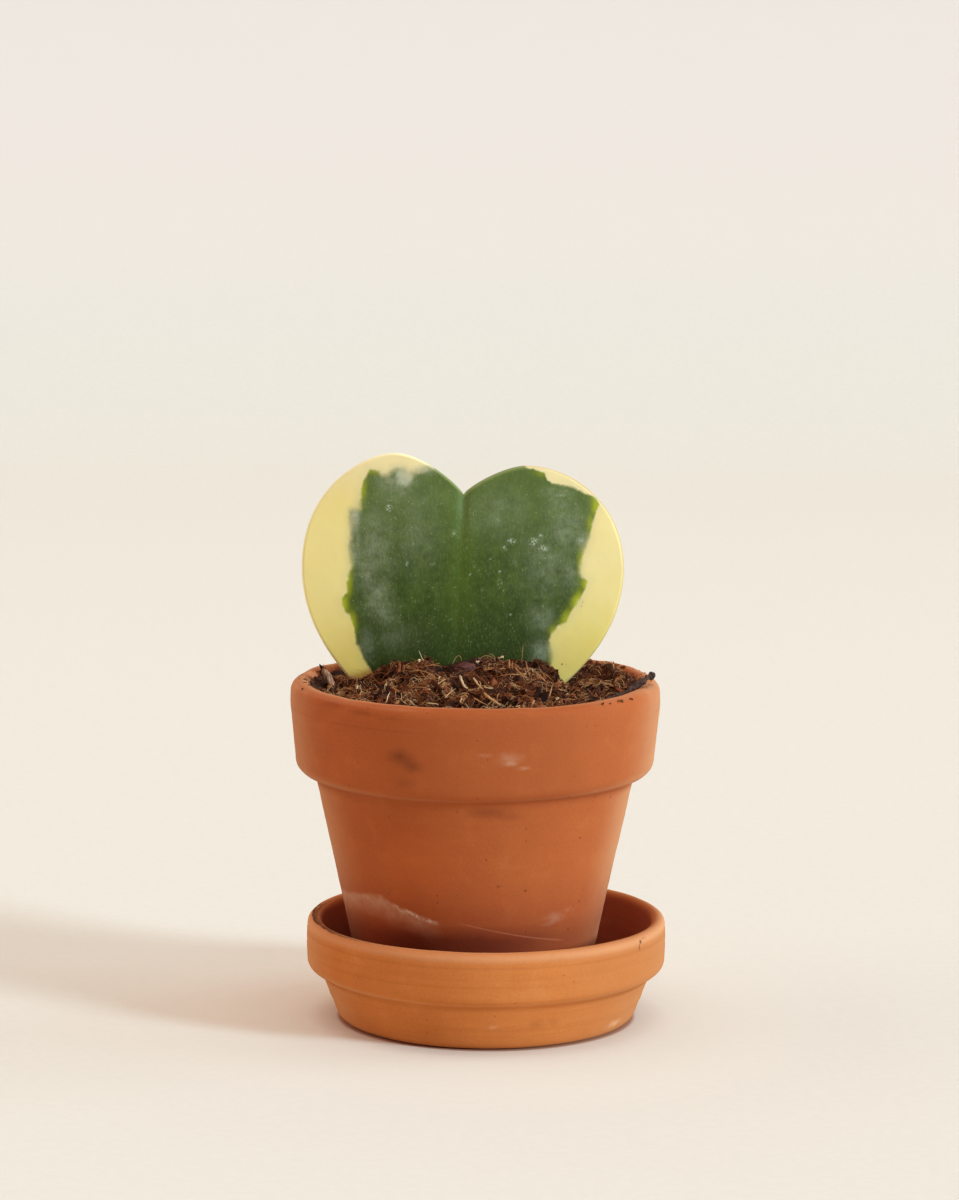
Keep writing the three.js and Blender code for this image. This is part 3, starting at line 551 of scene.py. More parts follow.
def add_leaf(material):
    """The blade, as rings that are the outline shrunk towards the middle, from the middle of the back round
    the edge to the middle of the front. Half the thickness falls with the ring's share of the outline to the
    power 2.4, and turns into a quarter round at the edge."""
    outline = leaf_outline()
    out = outline - LEAF_MIDDLE
    reach = np.linalg.norm(out, axis=1)
    share = 1 - (1 - np.linspace(0.03, 1, LEAF_RINGS)) ** 1.7
    plane = LEAF_MIDDLE + share[:, None, None] * out[None]
    x, z = plane[..., 0], plane[..., 1]
    body = LEAF_EDGE_THICK / 2 + (LEAF_THICK - LEAF_EDGE_THICK) / 2 * (1 - share[:, None] ** 2.4)
    to_rim = (1 - share)[:, None] * reach
    to_edge = np.clip(to_rim / LEAF_EDGE_ROUND, 0, 1)
    half = body * np.sqrt(1 - (1 - to_edge) ** 2)
    across = midrib_offset(x, z)
    deep = GROOVE_DEPTH + (GROOVE_DEEPEST - GROOVE_DEPTH) * np.exp(-((z - HEART[0][0][1]) / 9) ** 2)
    groove = deep * np.exp(-(across / GROOVE_HALF_WIDTH) ** 2) * to_edge
    vein_run = (z - 0.55 * np.abs(across)) / 7.5
    veins = 0.035 * np.cos(2 * np.pi * vein_run) * np.exp(-(np.abs(across) / 26) ** 4) * to_edge
    flat = np.stack([x, 0 * x, z], -1)
    swell = (0.10 * lattice_noise(flat, 9.0) + 0.035 * layered_noise(flat + 5, 3.2, 2)) * to_edge
    back = leaf_back(x, z)
    front_y = back - half + groove + veins + swell
    back_y = back + half + 0.4 * groove + 0.5 * veins
    rings = np.concatenate([np.stack([x, back_y, z], -1), np.stack([x, front_y, z], -1)[-2::-1]])
    rows, columns = rings.shape[:2]
    ends = np.array([rings[0].mean(0), rings[-1].mean(0)])
    points = np.concatenate([rings.reshape(-1, 3), ends])
    green = signed_depth(points[:, [0, 2]], GREEN_LEFT + GREEN_BAY + GREEN_RIGHT)
    edge = np.concatenate([to_rim.ravel(), to_rim[-2::-1].ravel(), [reach.min()] * 2])
    is_front = np.concatenate([np.zeros(LEAF_RINGS * columns), np.ones((LEAF_RINGS - 1) * columns), [0, 1]])
    x, z = points[:, 0], points[:, 2]
    mesh_piece("leaf_blade", placed_leaf(points), skin_faces(rows, columns), pole_faces(rows, columns),
               material, "leaf", "leaf", green_depth=green, edge_distance=edge, front=is_front,
               bloom=np.clip(patches(x, z, BLOOM_PATCHES), 0, 1), dirt=patches(x, z, DIRT_SPOTS),
               lime=patches(x, z, LIME_PATCHES), scale_marks=patches(x, z, SCALE_PATCHES),
               midrib=midrib_offset(x, z))


def inside_leaf(points, margin):
    """True for points, from the pot's axis and base, that are within margin of the blade."""
    rel = points - LEAF_PLACE
    cosine, sine = np.cos(LEAF_LEAN), np.sin(LEAF_LEAN)
    y = rel[:, 1] * cosine - rel[:, 2] * sine
    z = rel[:, 2] * cosine + rel[:, 1] * sine
    within = signed_depth(np.stack([rel[:, 0], z], -1), leaf_outline()[::12]) > -margin
    return within & (np.abs(y - leaf_back(rel[:, 0], z)) < LEAF_THICK / 2 + margin)


# ---- soil ----

def soil_height(x, y):
    """The soil's surface over the pot's base: a flat-topped mound in front of the leaf, a low hill at its
    left end, a slant up to the right and a slow ripple, all calmed at the wall."""
    s = SOIL_SHAPE
    across = np.abs((x - s["x"]) / s["half_width"])
    along = (y - s["y"]) / np.where(y < s["y"], s["front"], s["back"])
    mound = s["mound"] * np.exp(-across ** 6 - along ** 2)
    hill_x, hill_y = s["hill"]
    hill = s["hill_height"] * np.exp(-(np.hypot(x - hill_x, y - hill_y) / s["hill_radius"]) ** 2)
    ripple = np.sin(0.43 * x + 1.1) * np.cos(0.37 * y - 0.4) + np.sin(0.21 * (x - y))
    wall = inner_radius(s["edge"])
    calm = 1 - np.minimum(1, np.hypot(x, y) / wall) ** 8
    return s["edge"] + mound + hill + (s["right_rise"] * x / wall + s["ripple"] * ripple) * calm


def inner_radius(z):
    """The radius of the pot's inner wall at a height over its base, on a straight line from foot to rim."""
    p = POT_WALL
    return np.interp(z, [p["inner_foot_z"], POT_HEIGHT - p["inner_lip"]], [p["inner_foot"], p["inner_rim"]])


def clod_height(x, y):
    """The soil's surface with its clods: the mound, settled a little, its heaps and hollows, wide noise,
    clods with sharp hollows between them, and fine noise."""
    flat = np.stack([x, y, 0 * x], -1)
    s = SOIL_SHAPE
    heaps = patches(x, y, s["heaps"]) - patches(x, y, [(*h[:4], -h[4]) for h in s["heaps"]])
    wide = 0.6 * layered_noise(flat + 31, 9.0, 1)
    clods = 1.25 * (1 - 2.6 * np.abs(lattice_noise(flat, 4.6))) - 0.45
    small = 0.55 * (1 - 2.4 * np.abs(lattice_noise(flat + 12, 2.1))) - 0.2
    fine = 0.30 * layered_noise(flat + 50, 1.0, 2)
    calm = np.clip((inner_radius(s["edge"]) - np.hypot(x, y)) / 2.5, 0.25, 1)
    return soil_height(x, y) - s["settled"] * calm + (heaps + wide + clods + small + fine) * calm


def add_soil_bed(material):
    """The bed: rings up the pot's wall and then in over the mound, x = r cos a, y = r sin a and z from the
    clods' height, closed by a point at each end."""
    angle = np.linspace(0, 2 * np.pi, BED_AROUND, endpoint=False)
    over = np.linspace(inner_radius(SOIL_SHAPE["edge"]) - BED_GAP, BED_HOLE, BED_RINGS)[:, None]
    down = (inner_radius(BED_DEPTHS) - BED_GAP)[:, None]
    radius = np.concatenate([down, over])
    x, y = radius * np.cos(angle), radius * np.sin(angle)
    z = np.repeat(BED_DEPTHS[:, None], BED_AROUND, 1)
    z = np.concatenate([z, clod_height(x[len(BED_DEPTHS):], y[len(BED_DEPTHS):])])
    ends = np.array([[0, 0, BED_DEPTHS[0]], [0, 0, z[-1].mean()]])
    points = np.concatenate([np.stack([x, y, z], -1).reshape(-1, 3), ends]) + POT_AXIS
    mesh_piece("soil_bed", points, skin_faces(*z.shape), pole_faces(*z.shape), material, "soil", "soil")


ICOSA_POINTS = np.array([(-1, 1.618, 0), (1, 1.618, 0), (-1, -1.618, 0), (1, -1.618, 0), (0, -1, 1.618),
                         (0, 1, 1.618), (0, -1, -1.618), (0, 1, -1.618), (1.618, 0, -1), (1.618, 0, 1),
                         (-1.618, 0, -1), (-1.618, 0, 1)]) / 1.902
ICOSA_FACES = np.array([(0, 11, 5), (0, 5, 1), (0, 1, 7), (0, 7, 10), (0, 10, 11), (1, 5, 9), (5, 11, 4),
                        (11, 10, 2), (10, 7, 6), (7, 1, 8), (3, 9, 4), (3, 4, 2), (3, 2, 6), (3, 6, 8),
                        (3, 8, 9), (4, 9, 5), (2, 4, 11), (6, 2, 10), (8, 6, 7), (9, 8, 1)])
BALL = (ICOSA_POINTS, ICOSA_FACES)


def finer_ball(points, faces):
    """A ball with each triangle split in four, and the new corners pushed out to the ball."""
    middles = {}
    points = [tuple(p) for p in points]
    made = []

    def middle(a, b):
        key = (min(a, b), max(a, b))
        if key not in middles:
            centre = (np.array(points[a]) + points[b]) / 2
            points.append(tuple(centre / np.linalg.norm(centre)))
            middles[key] = len(points) - 1
        return middles[key]

    for a, b, c in faces:
        ab, bc, ca = middle(a, b), middle(b, c), middle(c, a)
        made += [(a, ab, ca), (b, bc, ab), (c, ca, bc), (ab, bc, ca)]
    return np.array(points), np.array(made)


def random_turns(random, count):
    """Turning matrices spread evenly, from random unit quaternions."""
    q = random.normal(size=(count, 4))
    w, x, y, z = (q / np.linalg.norm(q, axis=1, keepdims=True)).T
    return np.stack([
        np.stack([1 - 2 * (y * y + z * z), 2 * (x * y - z * w), 2 * (x * z + y * w)], -1),
        np.stack([2 * (x * y + z * w), 1 - 2 * (x * x + z * z), 2 * (y * z - x * w)], -1),
        np.stack([2 * (x * z - y * w), 2 * (y * z + x * w), 1 - 2 * (x * x + y * y)], -1)], 1)


def many_lumps(random, centres, sizes, ball, roughness):
    """Rough lumps: a ball's points pushed in and out at random, stretched by each lump's own sizes, turned
    and moved to its centre. Returns the points and the triangles of them all."""
    shape, faces = ball
    count = len(centres)
    push = 1 + roughness * random.uniform(-1, 1, (count, len(shape), 1))
    local = shape[None] * push * sizes[:, None, :]
    points = np.einsum("nij,nkj->nki", random_turns(random, count), local) + centres[:, None]
    triangles = faces[None] + len(shape) * np.arange(count)[:, None, None]
    return points.reshape(-1, 3), triangles.reshape(-1, 3)


def many_rods(paths, radii, sides):
    """Closed rods, one along each path. Round each path point lie the corners of a ring, at radius times
    (cos, sin) in the plane across the path, and a point closes each end."""
    count, steps = paths.shape[:2]
    along = np.gradient(paths, axis=1)
    along /= np.linalg.norm(along, axis=2, keepdims=True) + 1e-9
    aside = np.cross(along, np.array([0.31, 0.17, 0.93]))
    aside /= np.linalg.norm(aside, axis=2, keepdims=True) + 1e-9
    over = np.cross(along, aside)
    angle = 2 * np.pi * np.arange(sides) / sides
    ring = np.cos(angle)[:, None] * aside[:, :, None] + np.sin(angle)[:, None] * over[:, :, None]
    rings = paths[:, :, None] + radii[:, :, None, None] * ring
    first = paths[:, 0] - along[:, 0] * radii[:, :1]
    last = paths[:, -1] + along[:, -1] * radii[:, -1:]
    ends = np.stack([first, last], 1)
    points = np.concatenate([rings.reshape(count, -1, 3), ends], 1)
    offset = (steps * sides + 2) * np.arange(count)[:, None, None]
    quads = skin_faces(steps, sides)[None] + offset
    triangles = pole_faces(steps, sides)[None] + offset
    return points.reshape(-1, 3), quads.reshape(-1, 4), triangles.reshape(-1, 3)


def scattered(random, count, reach):
    """Random places on the disc of radius reach, evenly by area, each on the clods' surface."""
    angle = random.uniform(0, 2 * np.pi, count)
    radius = reach * np.sqrt(random.random(count))
    x, y = radius * np.cos(angle), radius * np.sin(angle)
    return np.stack([x, y, clod_height(x, y)], -1)


def clear_of_hero_bits(points):
    """True for points, from the pot's axis and base, that don't hide the sliver, the chip or the nugget."""
    clear = np.ones(len(points), bool)
    for name, (margin, shift) in CLEARINGS.items():
        low, high = (np.array(corner) / MM - POT_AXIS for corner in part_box(name))
        inside = (points > low - margin + shift) & (points < high + margin)
        clear &= ~inside.all(1)
    return clear


def zone_tone(x, y):
    """How pale the soil is round a place, from 0.3 to 1.25: patches of a few millimetres, as clumps that
    have dried more or less."""
    flat = np.stack([x, y, 0 * x], -1)
    return np.clip(0.92 + 0.95 * layered_noise(flat + 70, 6.0, 2), 0.3, 1.25)


def add_crumbs(material):
    """Crumbs and shreds over the soil, mostly under 1 mm, and fewer, half-sunk clods, in two pieces. A share
    of them are drawn out along one axis."""
    random = np.random.default_rng(SEEDS["crumbs"])
    for name, count, low, high, skew, roughness, tones, lift, fineness in CRUMB_SORTS:
        ball = finer_ball(*BALL) if fineness else BALL
        centres = scattered(random, count, inner_radius(SOIL_SHAPE["edge"]) - 0.6)
        size = low + (high - low) * random.random(count) ** skew
        centres[:, 2] += lift * size
        kept = ~inside_leaf(centres, 0.15) & (centres[:, 2] < CRUMB_TOP) & clear_of_hero_bits(centres)
        centres, size = centres[kept], size[kept]
        sizes = size[:, None] * random.uniform(0.5, 1.3, (len(size), 3))
        sizes[:, 0] *= 1 + 2.4 * random.random(len(size)) ** 2.5
        points, triangles = many_lumps(random, centres, sizes, ball, roughness)
        tone = tones * random.random(len(size)) ** 1.2 * zone_tone(centres[:, 0], centres[:, 1])
        mesh_piece(name, points + POT_AXIS, [], triangles, material, "soil", smooth=False,
                   tone=np.repeat(tone, len(ball[0])))


def add_pale_grains(material):
    """A few pale grains among the soil."""
    random = np.random.default_rng(SEEDS["pale_grains"])
    centres = scattered(random, 24, 37.0)
    centres[:, 2] += 0.2
    centres = centres[~inside_leaf(centres, 0.4) & clear_of_hero_bits(centres)]
    sizes = random.uniform(0.16, 0.50, (len(centres), 3))
    points, triangles = many_lumps(random, centres, sizes, BALL, 0.6)
    tone = np.repeat(random.uniform(0.8, 1.0, len(centres)), len(ICOSA_POINTS))
    mesh_piece("pale_grains", points + POT_AXIS, [], triangles, material, "pale_wood", smooth=False,
               tone=tone)


def on_the_lip(points, gap):
    """The points moved straight on to the pot's lip, the gap above it: outwards from the middle of the outer
    round, of the inner round, or straight up from the flat between them."""
    across = np.hypot(points[:, 0], points[:, 1])
    outer = across > (INNER_LIP_CENTRE + LIP_CENTRE) / 2
    bend = np.where(outer, POT_WALL["lip"], POT_WALL["inner_lip"])
    middle = np.clip(across, INNER_LIP_CENTRE, LIP_CENTRE)
    away, up = across - middle, points[:, 2] - (POT_HEIGHT - bend)
    stretch = (bend + gap) / np.hypot(away, up)
    moved = points * ((middle + away * stretch) / across)[:, None]
    moved[:, 2] = POT_HEIGHT - bend + up * stretch
    return moved


def add_rim_crumbs(material):
    """Crumbs spilled on the rim, thickest at the right: most lie on the inner lip, a few have run over, and
    some lie in clumps where RIM_CLUMPS says."""
    random = np.random.default_rng(SEEDS["rim"])
    count, in_clump, seat = 620, 6, 0.12
    angle = np.where(random.random(count) < 0.72, random.normal(0.10, 0.50, count),
                     random.normal(np.pi + 0.05, 0.35, count))
    over = random.random(count) ** 3.4
    lean = np.radians(215 - 150 * over)
    inward = lean > np.pi / 2
    reach = np.where(inward, INNER_LIP_CENTRE, LIP_CENTRE + LIP_TUCK)
    bend = np.where(inward, POT_WALL["inner_lip"], POT_WALL["lip"])
    radius = reach + (bend + seat) * np.cos(lean)
    height = POT_HEIGHT - bend + (bend + seat) * np.sin(lean)
    centres = np.stack([radius * np.cos(angle), radius * np.sin(angle), height], -1)
    sizes = 0.10 + 0.36 * (1 - over[:, None]) * random.random((count, 1)) ** 2.4
    clumps = np.repeat(np.array(RIM_CLUMPS), in_clump, 0)
    size, place = clumps[:, :1], clumps[:, 1:]
    centres = np.concatenate([centres, place + size * random.normal(0, 0.9, place.shape)])
    sizes = np.concatenate([sizes, size * random.uniform(0.4, 1.0, size.shape)])
    centres = on_the_lip(centres, 0.35 * sizes[:, 0] - 0.06)
    count = len(centres)
    sizes = sizes * random.uniform(0.6, 1.3, (count, 3))
    points, triangles = many_lumps(random, centres, sizes, BALL, 0.3)
    tone = np.repeat(random.uniform(0.15, 0.6, count), len(ICOSA_POINTS))
    mesh_piece("rim_crumbs", points + POT_AXIS, [], triangles, material, "soil", smooth=False, tone=tone)


def over_soil(x, y):
    """Paths drawn in to the pot's wall where they reach past it, and the ground under them: half the clods'
    own height, and half its mean along each path."""
    limit = inner_radius(SOIL_SHAPE["edge"]) - FIBRE_GAP
    shrink = np.minimum(1, limit / np.maximum(np.hypot(x, y), 1e-6))
    ground = clod_height(x * shrink, y * shrink)
    return x * shrink, y * shrink, 0.5 * ground + 0.5 * ground.mean(1, keepdims=True)


def fibre_paths(random, starts, length, rise, curl, steps):
    """Paths that run over the soil: the heading wanders at random along each, and the height over the clods
    is an arch, rise times sin of pi t, plus a small wave."""
    count = len(starts)
    t = np.linspace(0, 1, steps)
    heading = random.uniform(0, 2 * np.pi, (count, 1)) + np.cumsum(random.normal(0, curl, (count, steps)), 1)
    stride = length[:, None] / (steps - 1)
    half = 0.5 * length[:, None]
    x = starts[:, :1] + np.cumsum(stride * np.cos(heading), 1) - half * np.cos(heading[:, :1])
    y = starts[:, 1:2] + np.cumsum(stride * np.sin(heading), 1) - half * np.sin(heading[:, :1])
    x, y, ground = over_soil(x, y)
    wave = 0.25 * np.sin(random.uniform(4, 11, (count, 1)) * t + random.uniform(0, 6, (count, 1)))
    return np.stack([x, y, ground + rise[:, None] * np.sin(np.pi * t) + wave], -1)


def add_fibres(material):
    """Coir fibres in three sorts: short dark curls, longer strands and a few stiff, pale straws."""
    random = np.random.default_rng(SEEDS["fibres"])
    for name, count, length, thick, rise, curl, steps, tone in FIBRE_SORTS:
        starts = scattered(random, count, 38.5)
        paths = fibre_paths(random, starts, random.uniform(*length, count), random.uniform(*rise, count),
                            curl, steps)
        add_rods(name, paths, random.uniform(*thick, count), random.uniform(*tone, count), material)


def add_rods(name, paths, thick, tone, material, sides=4):
    """One piece of the fibres that keep clear of the leaf and of the loose bark, thinner towards one end and
    as pale as their place."""
    count, steps = paths.shape[:2]
    flat = paths.reshape(-1, 3)
    kept = ~(inside_leaf(flat, 0.1) | ~clear_of_hero_bits(flat)).reshape(count, steps).any(1)
    kept &= paths[:, :, 2].max(1) < FIBRE_TOP
    paths = paths[kept]
    middle = paths[:, steps // 2]
    radius = thick[kept, None] * np.linspace(1.0, 0.45, steps)
    points, quads, triangles = many_rods(paths, radius, sides)
    tones = np.clip(tone[kept] * (0.35 + 0.65 * zone_tone(middle[:, 0], middle[:, 1])), 0, 0.9)
    mesh_piece(name, points + POT_AXIS, quads, triangles, material, "soil",
               tone=np.repeat(tones, sides * steps + 2))


def add_standing_hairs(material):
    """Fine hairs that stand up in front of the leaf's foot and over the mound: each rises along a bent line
    whose lean grows with the square of its share of the length."""
    random = np.random.default_rng(SEEDS["hairs"])
    count, steps = 130, 8
    near = random.random(count) < 0.6
    x = np.where(near, random.uniform(-27, 21, count), random.uniform(-34, 36, count))
    y = np.where(near, random.uniform(1.5, 5.5, count), random.uniform(-33, 2, count))
    t = np.linspace(0, 1, steps)
    heading = random.uniform(0, 2 * np.pi, (count, 1))
    length = random.uniform(1.2, 4.4, (count, 1))
    lean = length * (0.25 * t + random.uniform(0.1, 0.9, (count, 1)) * t ** 2)
    rise = clod_height(x, y)[:, None] - 0.2 + 0.75 * length * (t - 0.25 * t ** 3)
    paths = np.stack([x[:, None] + lean * np.cos(heading),
                      y[:, None] - 0.6 * np.abs(lean * np.sin(heading)), rise], -1)
    add_rods("standing_hairs", paths, random.uniform(0.045, 0.085, count), random.uniform(0.55, 0.95, count),
             material)


def add_tufts(material):
    """Tufts of torn fibre: each is a few strands of about one colour that lie side by side along one
    heading, bent by the square of the share of their length, over a few millimetres of soil."""
    random = np.random.default_rng(SEEDS["tufts"])
    tufts, strands, steps = 290, 14, 7
    count = tufts * strands
    centre = np.repeat(scattered(random, tufts, 36.5), strands, 0)
    heading = np.repeat(random.uniform(0, np.pi, tufts), strands) + random.normal(0, 0.22, count)
    length = np.repeat(random.uniform(2.4, 7.0, tufts), strands) * random.uniform(0.5, 1.1, count)
    tilt = np.repeat(random.uniform(-0.35, 0.35, tufts), strands) + random.normal(0, 0.12, count)
    aside = random.normal(0, 0.7, count)
    t = np.linspace(-0.5, 0.5, steps)
    bend = np.repeat(random.normal(0, 1.2, tufts), strands)[:, None] * (t ** 2)
    along = length[:, None] * t
    cosine, sine = np.cos(heading)[:, None], np.sin(heading)[:, None]
    off = aside[:, None] + bend
    x = centre[:, :1] + along * cosine - off * sine
    y = centre[:, 1:2] + along * sine + off * cosine
    x, y, ground = over_soil(x, y)
    z = ground + (random.uniform(-0.1, 0.8, (count, 1)) + along * np.tan(tilt)[:, None])
    tone = np.repeat(random.uniform(0.22, 0.80, tufts), strands) + random.normal(0, 0.07, count)
    add_rods("coir_tufts", np.stack([x, y, z], -1), random.uniform(0.045, 0.105, count), tone, material, 3)


def splinter_path(line, steps):
    """The first steps points of a line that is spaced evenly for one point more, and softened."""
    length = np.linalg.norm(np.diff(line, axis=0), axis=1).sum()
    return softened(resampled(line, length / (steps - 0.5)), 2)[:steps]


def add_splinters(material):
    """The splinters and straws that catch the eye, each where STAND_OUTS places it: a rod along its line,
    thinner at its ends, whose skin is moved by noise times a share of its radius, the raggedness."""
    steps, sides, raggedness = 12, 8, 0.45
    paths = np.stack([splinter_path(line, steps) for _, _, line in STAND_OUTS])
    taper = np.interp(np.linspace(0, 1, steps), [0, 0.1, 0.8, 1], [0.6, 1.0, 0.8, 0.35])
    radius = np.array([size for size, _, _ in STAND_OUTS])[:, None] * taper
    points, quads, triangles = many_rods(paths, radius, sides)
    each = sides * steps + 2
    rough = np.stack([layered_noise(points + 13 * k, 0.5, 2) for k in range(3)], -1)
    points = points + raggedness * np.repeat(radius.max(1), each)[:, None] * rough
    tone = np.repeat([tone for _, tone, _ in STAND_OUTS], each)
    mesh_piece("splinters", points + POT_AXIS, quads, triangles, material, "pale_wood", tone=tone)


def add_white_grains(material):
    """The pale, ragged grains that catch the eye, each where STAND_OUT_GRAINS places it."""
    random = np.random.default_rng(SEEDS["grains"])
    ball = finer_ball(*BALL)
    size, tone = np.array([grain[:2] for grain in STAND_OUT_GRAINS]).T
    centres = np.array([place for _, _, place in STAND_OUT_GRAINS])
    sizes = size[:, None] * random.uniform(0.45, 1.25, centres.shape)
    points, triangles = many_lumps(random, centres, sizes, ball, 0.8)
    mesh_piece("white_grains", points + POT_AXIS, [], triangles, material, "pale_wood", smooth=False,
               tone=np.repeat(tone, len(ball[0])))


def add_flakes(material):
    """Thin flakes of bark: six-sided plates, a ring of corners above and below a random plane, and a point
    in the middle of each side."""
    random = np.random.default_rng(SEEDS["flakes"])
    corners = 6
    each = 2 * corners + 2
    centres = scattered(random, 420, 38.0)
    centres[:, 2] += 0.25
    centres = centres[~inside_leaf(centres, 0.9) & clear_of_hero_bits(centres)]
    count = len(centres)
    angle = 2 * np.pi * np.arange(corners) / corners
    ring = np.stack([np.cos(angle), np.sin(angle), 0 * angle], -1)
    shape = np.concatenate([ring - [0, 0, 1], ring + [0, 0, 1], [[0, 0, -1], [0, 0, 1]]])
    sizes = np.stack([random.uniform(0.6, 2.2, count), random.uniform(0.4, 1.0, count),
                      random.uniform(0.08, 0.2, count)], -1)
    push = random.uniform(0.65, 1.2, (count, each, 1))
    push[:, corners:-2] = push[:, :corners]
    push[:, -2:] = 1
    local = shape[None] * np.concatenate([push, push, np.ones_like(push)], -1) * sizes[:, None]
    points = np.einsum("nij,nkj->nki", random_turns(random, count), local) + centres[:, None]
    offset = each * np.arange(count)[:, None, None]
    quads = skin_faces(2, corners)[None] + offset
    triangles = pole_faces(2, corners)[None] + offset
    tone = np.repeat(0.62 * random.random(count) * zone_tone(centres[:, 0], centres[:, 1]), each)
    mesh_piece("bark_flakes", points.reshape(-1, 3) + POT_AXIS, quads.reshape(-1, 4),
               triangles.reshape(-1, 3), material, "red_bark", smooth=False, tone=tone)


# ---- node tools ----

def feed(tree, made, inputs):
    """Gives a node's inputs, named or numbered as _0, _1, their values or other nodes' sockets."""
    for key, value in inputs.items():
        socket = made.inputs[int(key[1:]) if key[0] == "_" else key.replace("_", " ")]
        if isinstance(value, bpy.types.NodeSocket):
            tree.links.new(value, socket)
        else:
            socket.default_value = value


def node(tree, kind, settings=None, **inputs):
    """A shader node with its settings and inputs."""
    made = tree.nodes.new(kind)
    for key, value in (settings or {}).items():
        setattr(made, key, value)
    feed(tree, made, inputs)
    return made


def maths(tree, operation, a, b=0.0, c=0.0):
    """One step of arithmetic, as a socket."""
    return node(tree, "ShaderNodeMath", {"operation": operation}, _0=a, _1=b, _2=c).outputs[0]


def times(tree, first, *others):
    """Values multiplied together, as a socket."""
    for other in others:
        first = maths(tree, "MULTIPLY", first, other)
    return first


def one_less(tree, value):
    """One less a value, as a socket."""
    return maths(tree, "SUBTRACT", 1.0, value)


def mixed(tree, share, first, second, blend="MIX"):
    """Two colours mixed by a share, as a socket."""
    settings = {"data_type": "RGBA", "blend_type": blend, "clamp_factor": True}
    return node(tree, "ShaderNodeMix", settings, _0=share, _6=first, _7=second).outputs[2]


def ranged(tree, value, low, high, to_low=0.0, to_high=1.0, ease="SMOOTHSTEP"):
    """A value carried from one range to another, kept within it, as a socket."""
    settings = {"interpolation_type": ease, "clamp": True}
    return node(tree, "ShaderNodeMapRange", settings, Value=value, From_Min=low, From_Max=high,
                To_Min=to_low, To_Max=to_high).outputs[0]


def noise(tree, vector, scale, detail=3.0, roughness=0.55, distortion=0.0):
    """Blender's noise at a scale, as a value from about 0.2 to 0.8."""
    return node(tree, "ShaderNodeTexNoise", None, Vector=vector, Scale=scale, Detail=detail,
                Roughness=roughness, Distortion=distortion).outputs["Fac"]


def stretched(tree, vector, scale, centre=(0.0, 0.0, 0.0)):
    """Coordinates taken from a centre and then multiplied by a scale for each axis."""
    moved = node(tree, "ShaderNodeVectorMath", {"operation": "SUBTRACT"}, _0=vector, _1=centre).outputs[0]
    return node(tree, "ShaderNodeVectorMath", {"operation": "MULTIPLY"}, _0=moved, _1=scale).outputs[0]


def attribute(tree, name):
    """One of the piece's own float attributes."""
    return node(tree, "ShaderNodeAttribute", {"attribute_name": name}).outputs["Fac"]


def object_place(tree):
    """A place on the piece, in metres from the row's origin, as a socket."""
    return node(tree, "ShaderNodeTexCoord").outputs["Object"]


def new_group(name, inputs, outputs):
    """An empty node group with typed, named inputs and outputs. Returns its tree, inputs and output node."""
    tree = bpy.data.node_groups.new(name, "ShaderNodeTree")
    kinds = {"v": "NodeSocketVector", "f": "NodeSocketFloat", "c": "NodeSocketColor"}
    for label, kind in inputs:
        tree.interface.new_socket(name=label, in_out="INPUT", socket_type=kinds[kind])
    for label, kind in outputs:
        tree.interface.new_socket(name=label, in_out="OUTPUT", socket_type=kinds[kind])
    entry = tree.nodes.new("NodeGroupInput")
    return tree, entry.outputs, tree.nodes.new("NodeGroupOutput")


def placed_group(tree, group, **inputs):
    """A group placed in a material, with its own values."""
    made = tree.nodes.new("ShaderNodeGroup")
    made.node_tree = group
    feed(tree, made, inputs)
    return made.outputs


def new_material(name, **settings):
    """A material with a Principled shader, whose constant settings go on the shader's own sockets."""
    material = bpy.data.materials.new(name)
    material.use_nodes = True
    shader = material.node_tree.nodes["Principled BSDF"]
    for key, value in settings.items():
        shader.inputs[key.replace("_", " ")].default_value = value
    return material, material.node_tree, shader


def surface(tree, shader, colour, roughness=None, height=None, relief=0.0, strength=1.0):
    """Joins a colour, a roughness and a height to the shader. relief is how deep a height of 1 is."""
    tree.links.new(colour, shader.inputs["Base Color"])
    if roughness is not None:
        tree.links.new(roughness, shader.inputs["Roughness"])
    if height is not None:
        bump = node(tree, "ShaderNodeBump", None, Height=height, Strength=strength, Distance=relief)
        tree.links.new(bump.outputs["Normal"], shader.inputs["Normal"])


def rgb(red, green, blue):
    """A colour given as it shows on a screen, 0 to 255, turned to linear light."""
    screen = np.array([red, green, blue]) / 255
    linear = np.where(screen <= 0.04045, screen / 12.92, ((screen + 0.055) / 1.055) ** 2.4)
    return (*[float(v) for v in linear], 1.0)


# ---- shared effects ----

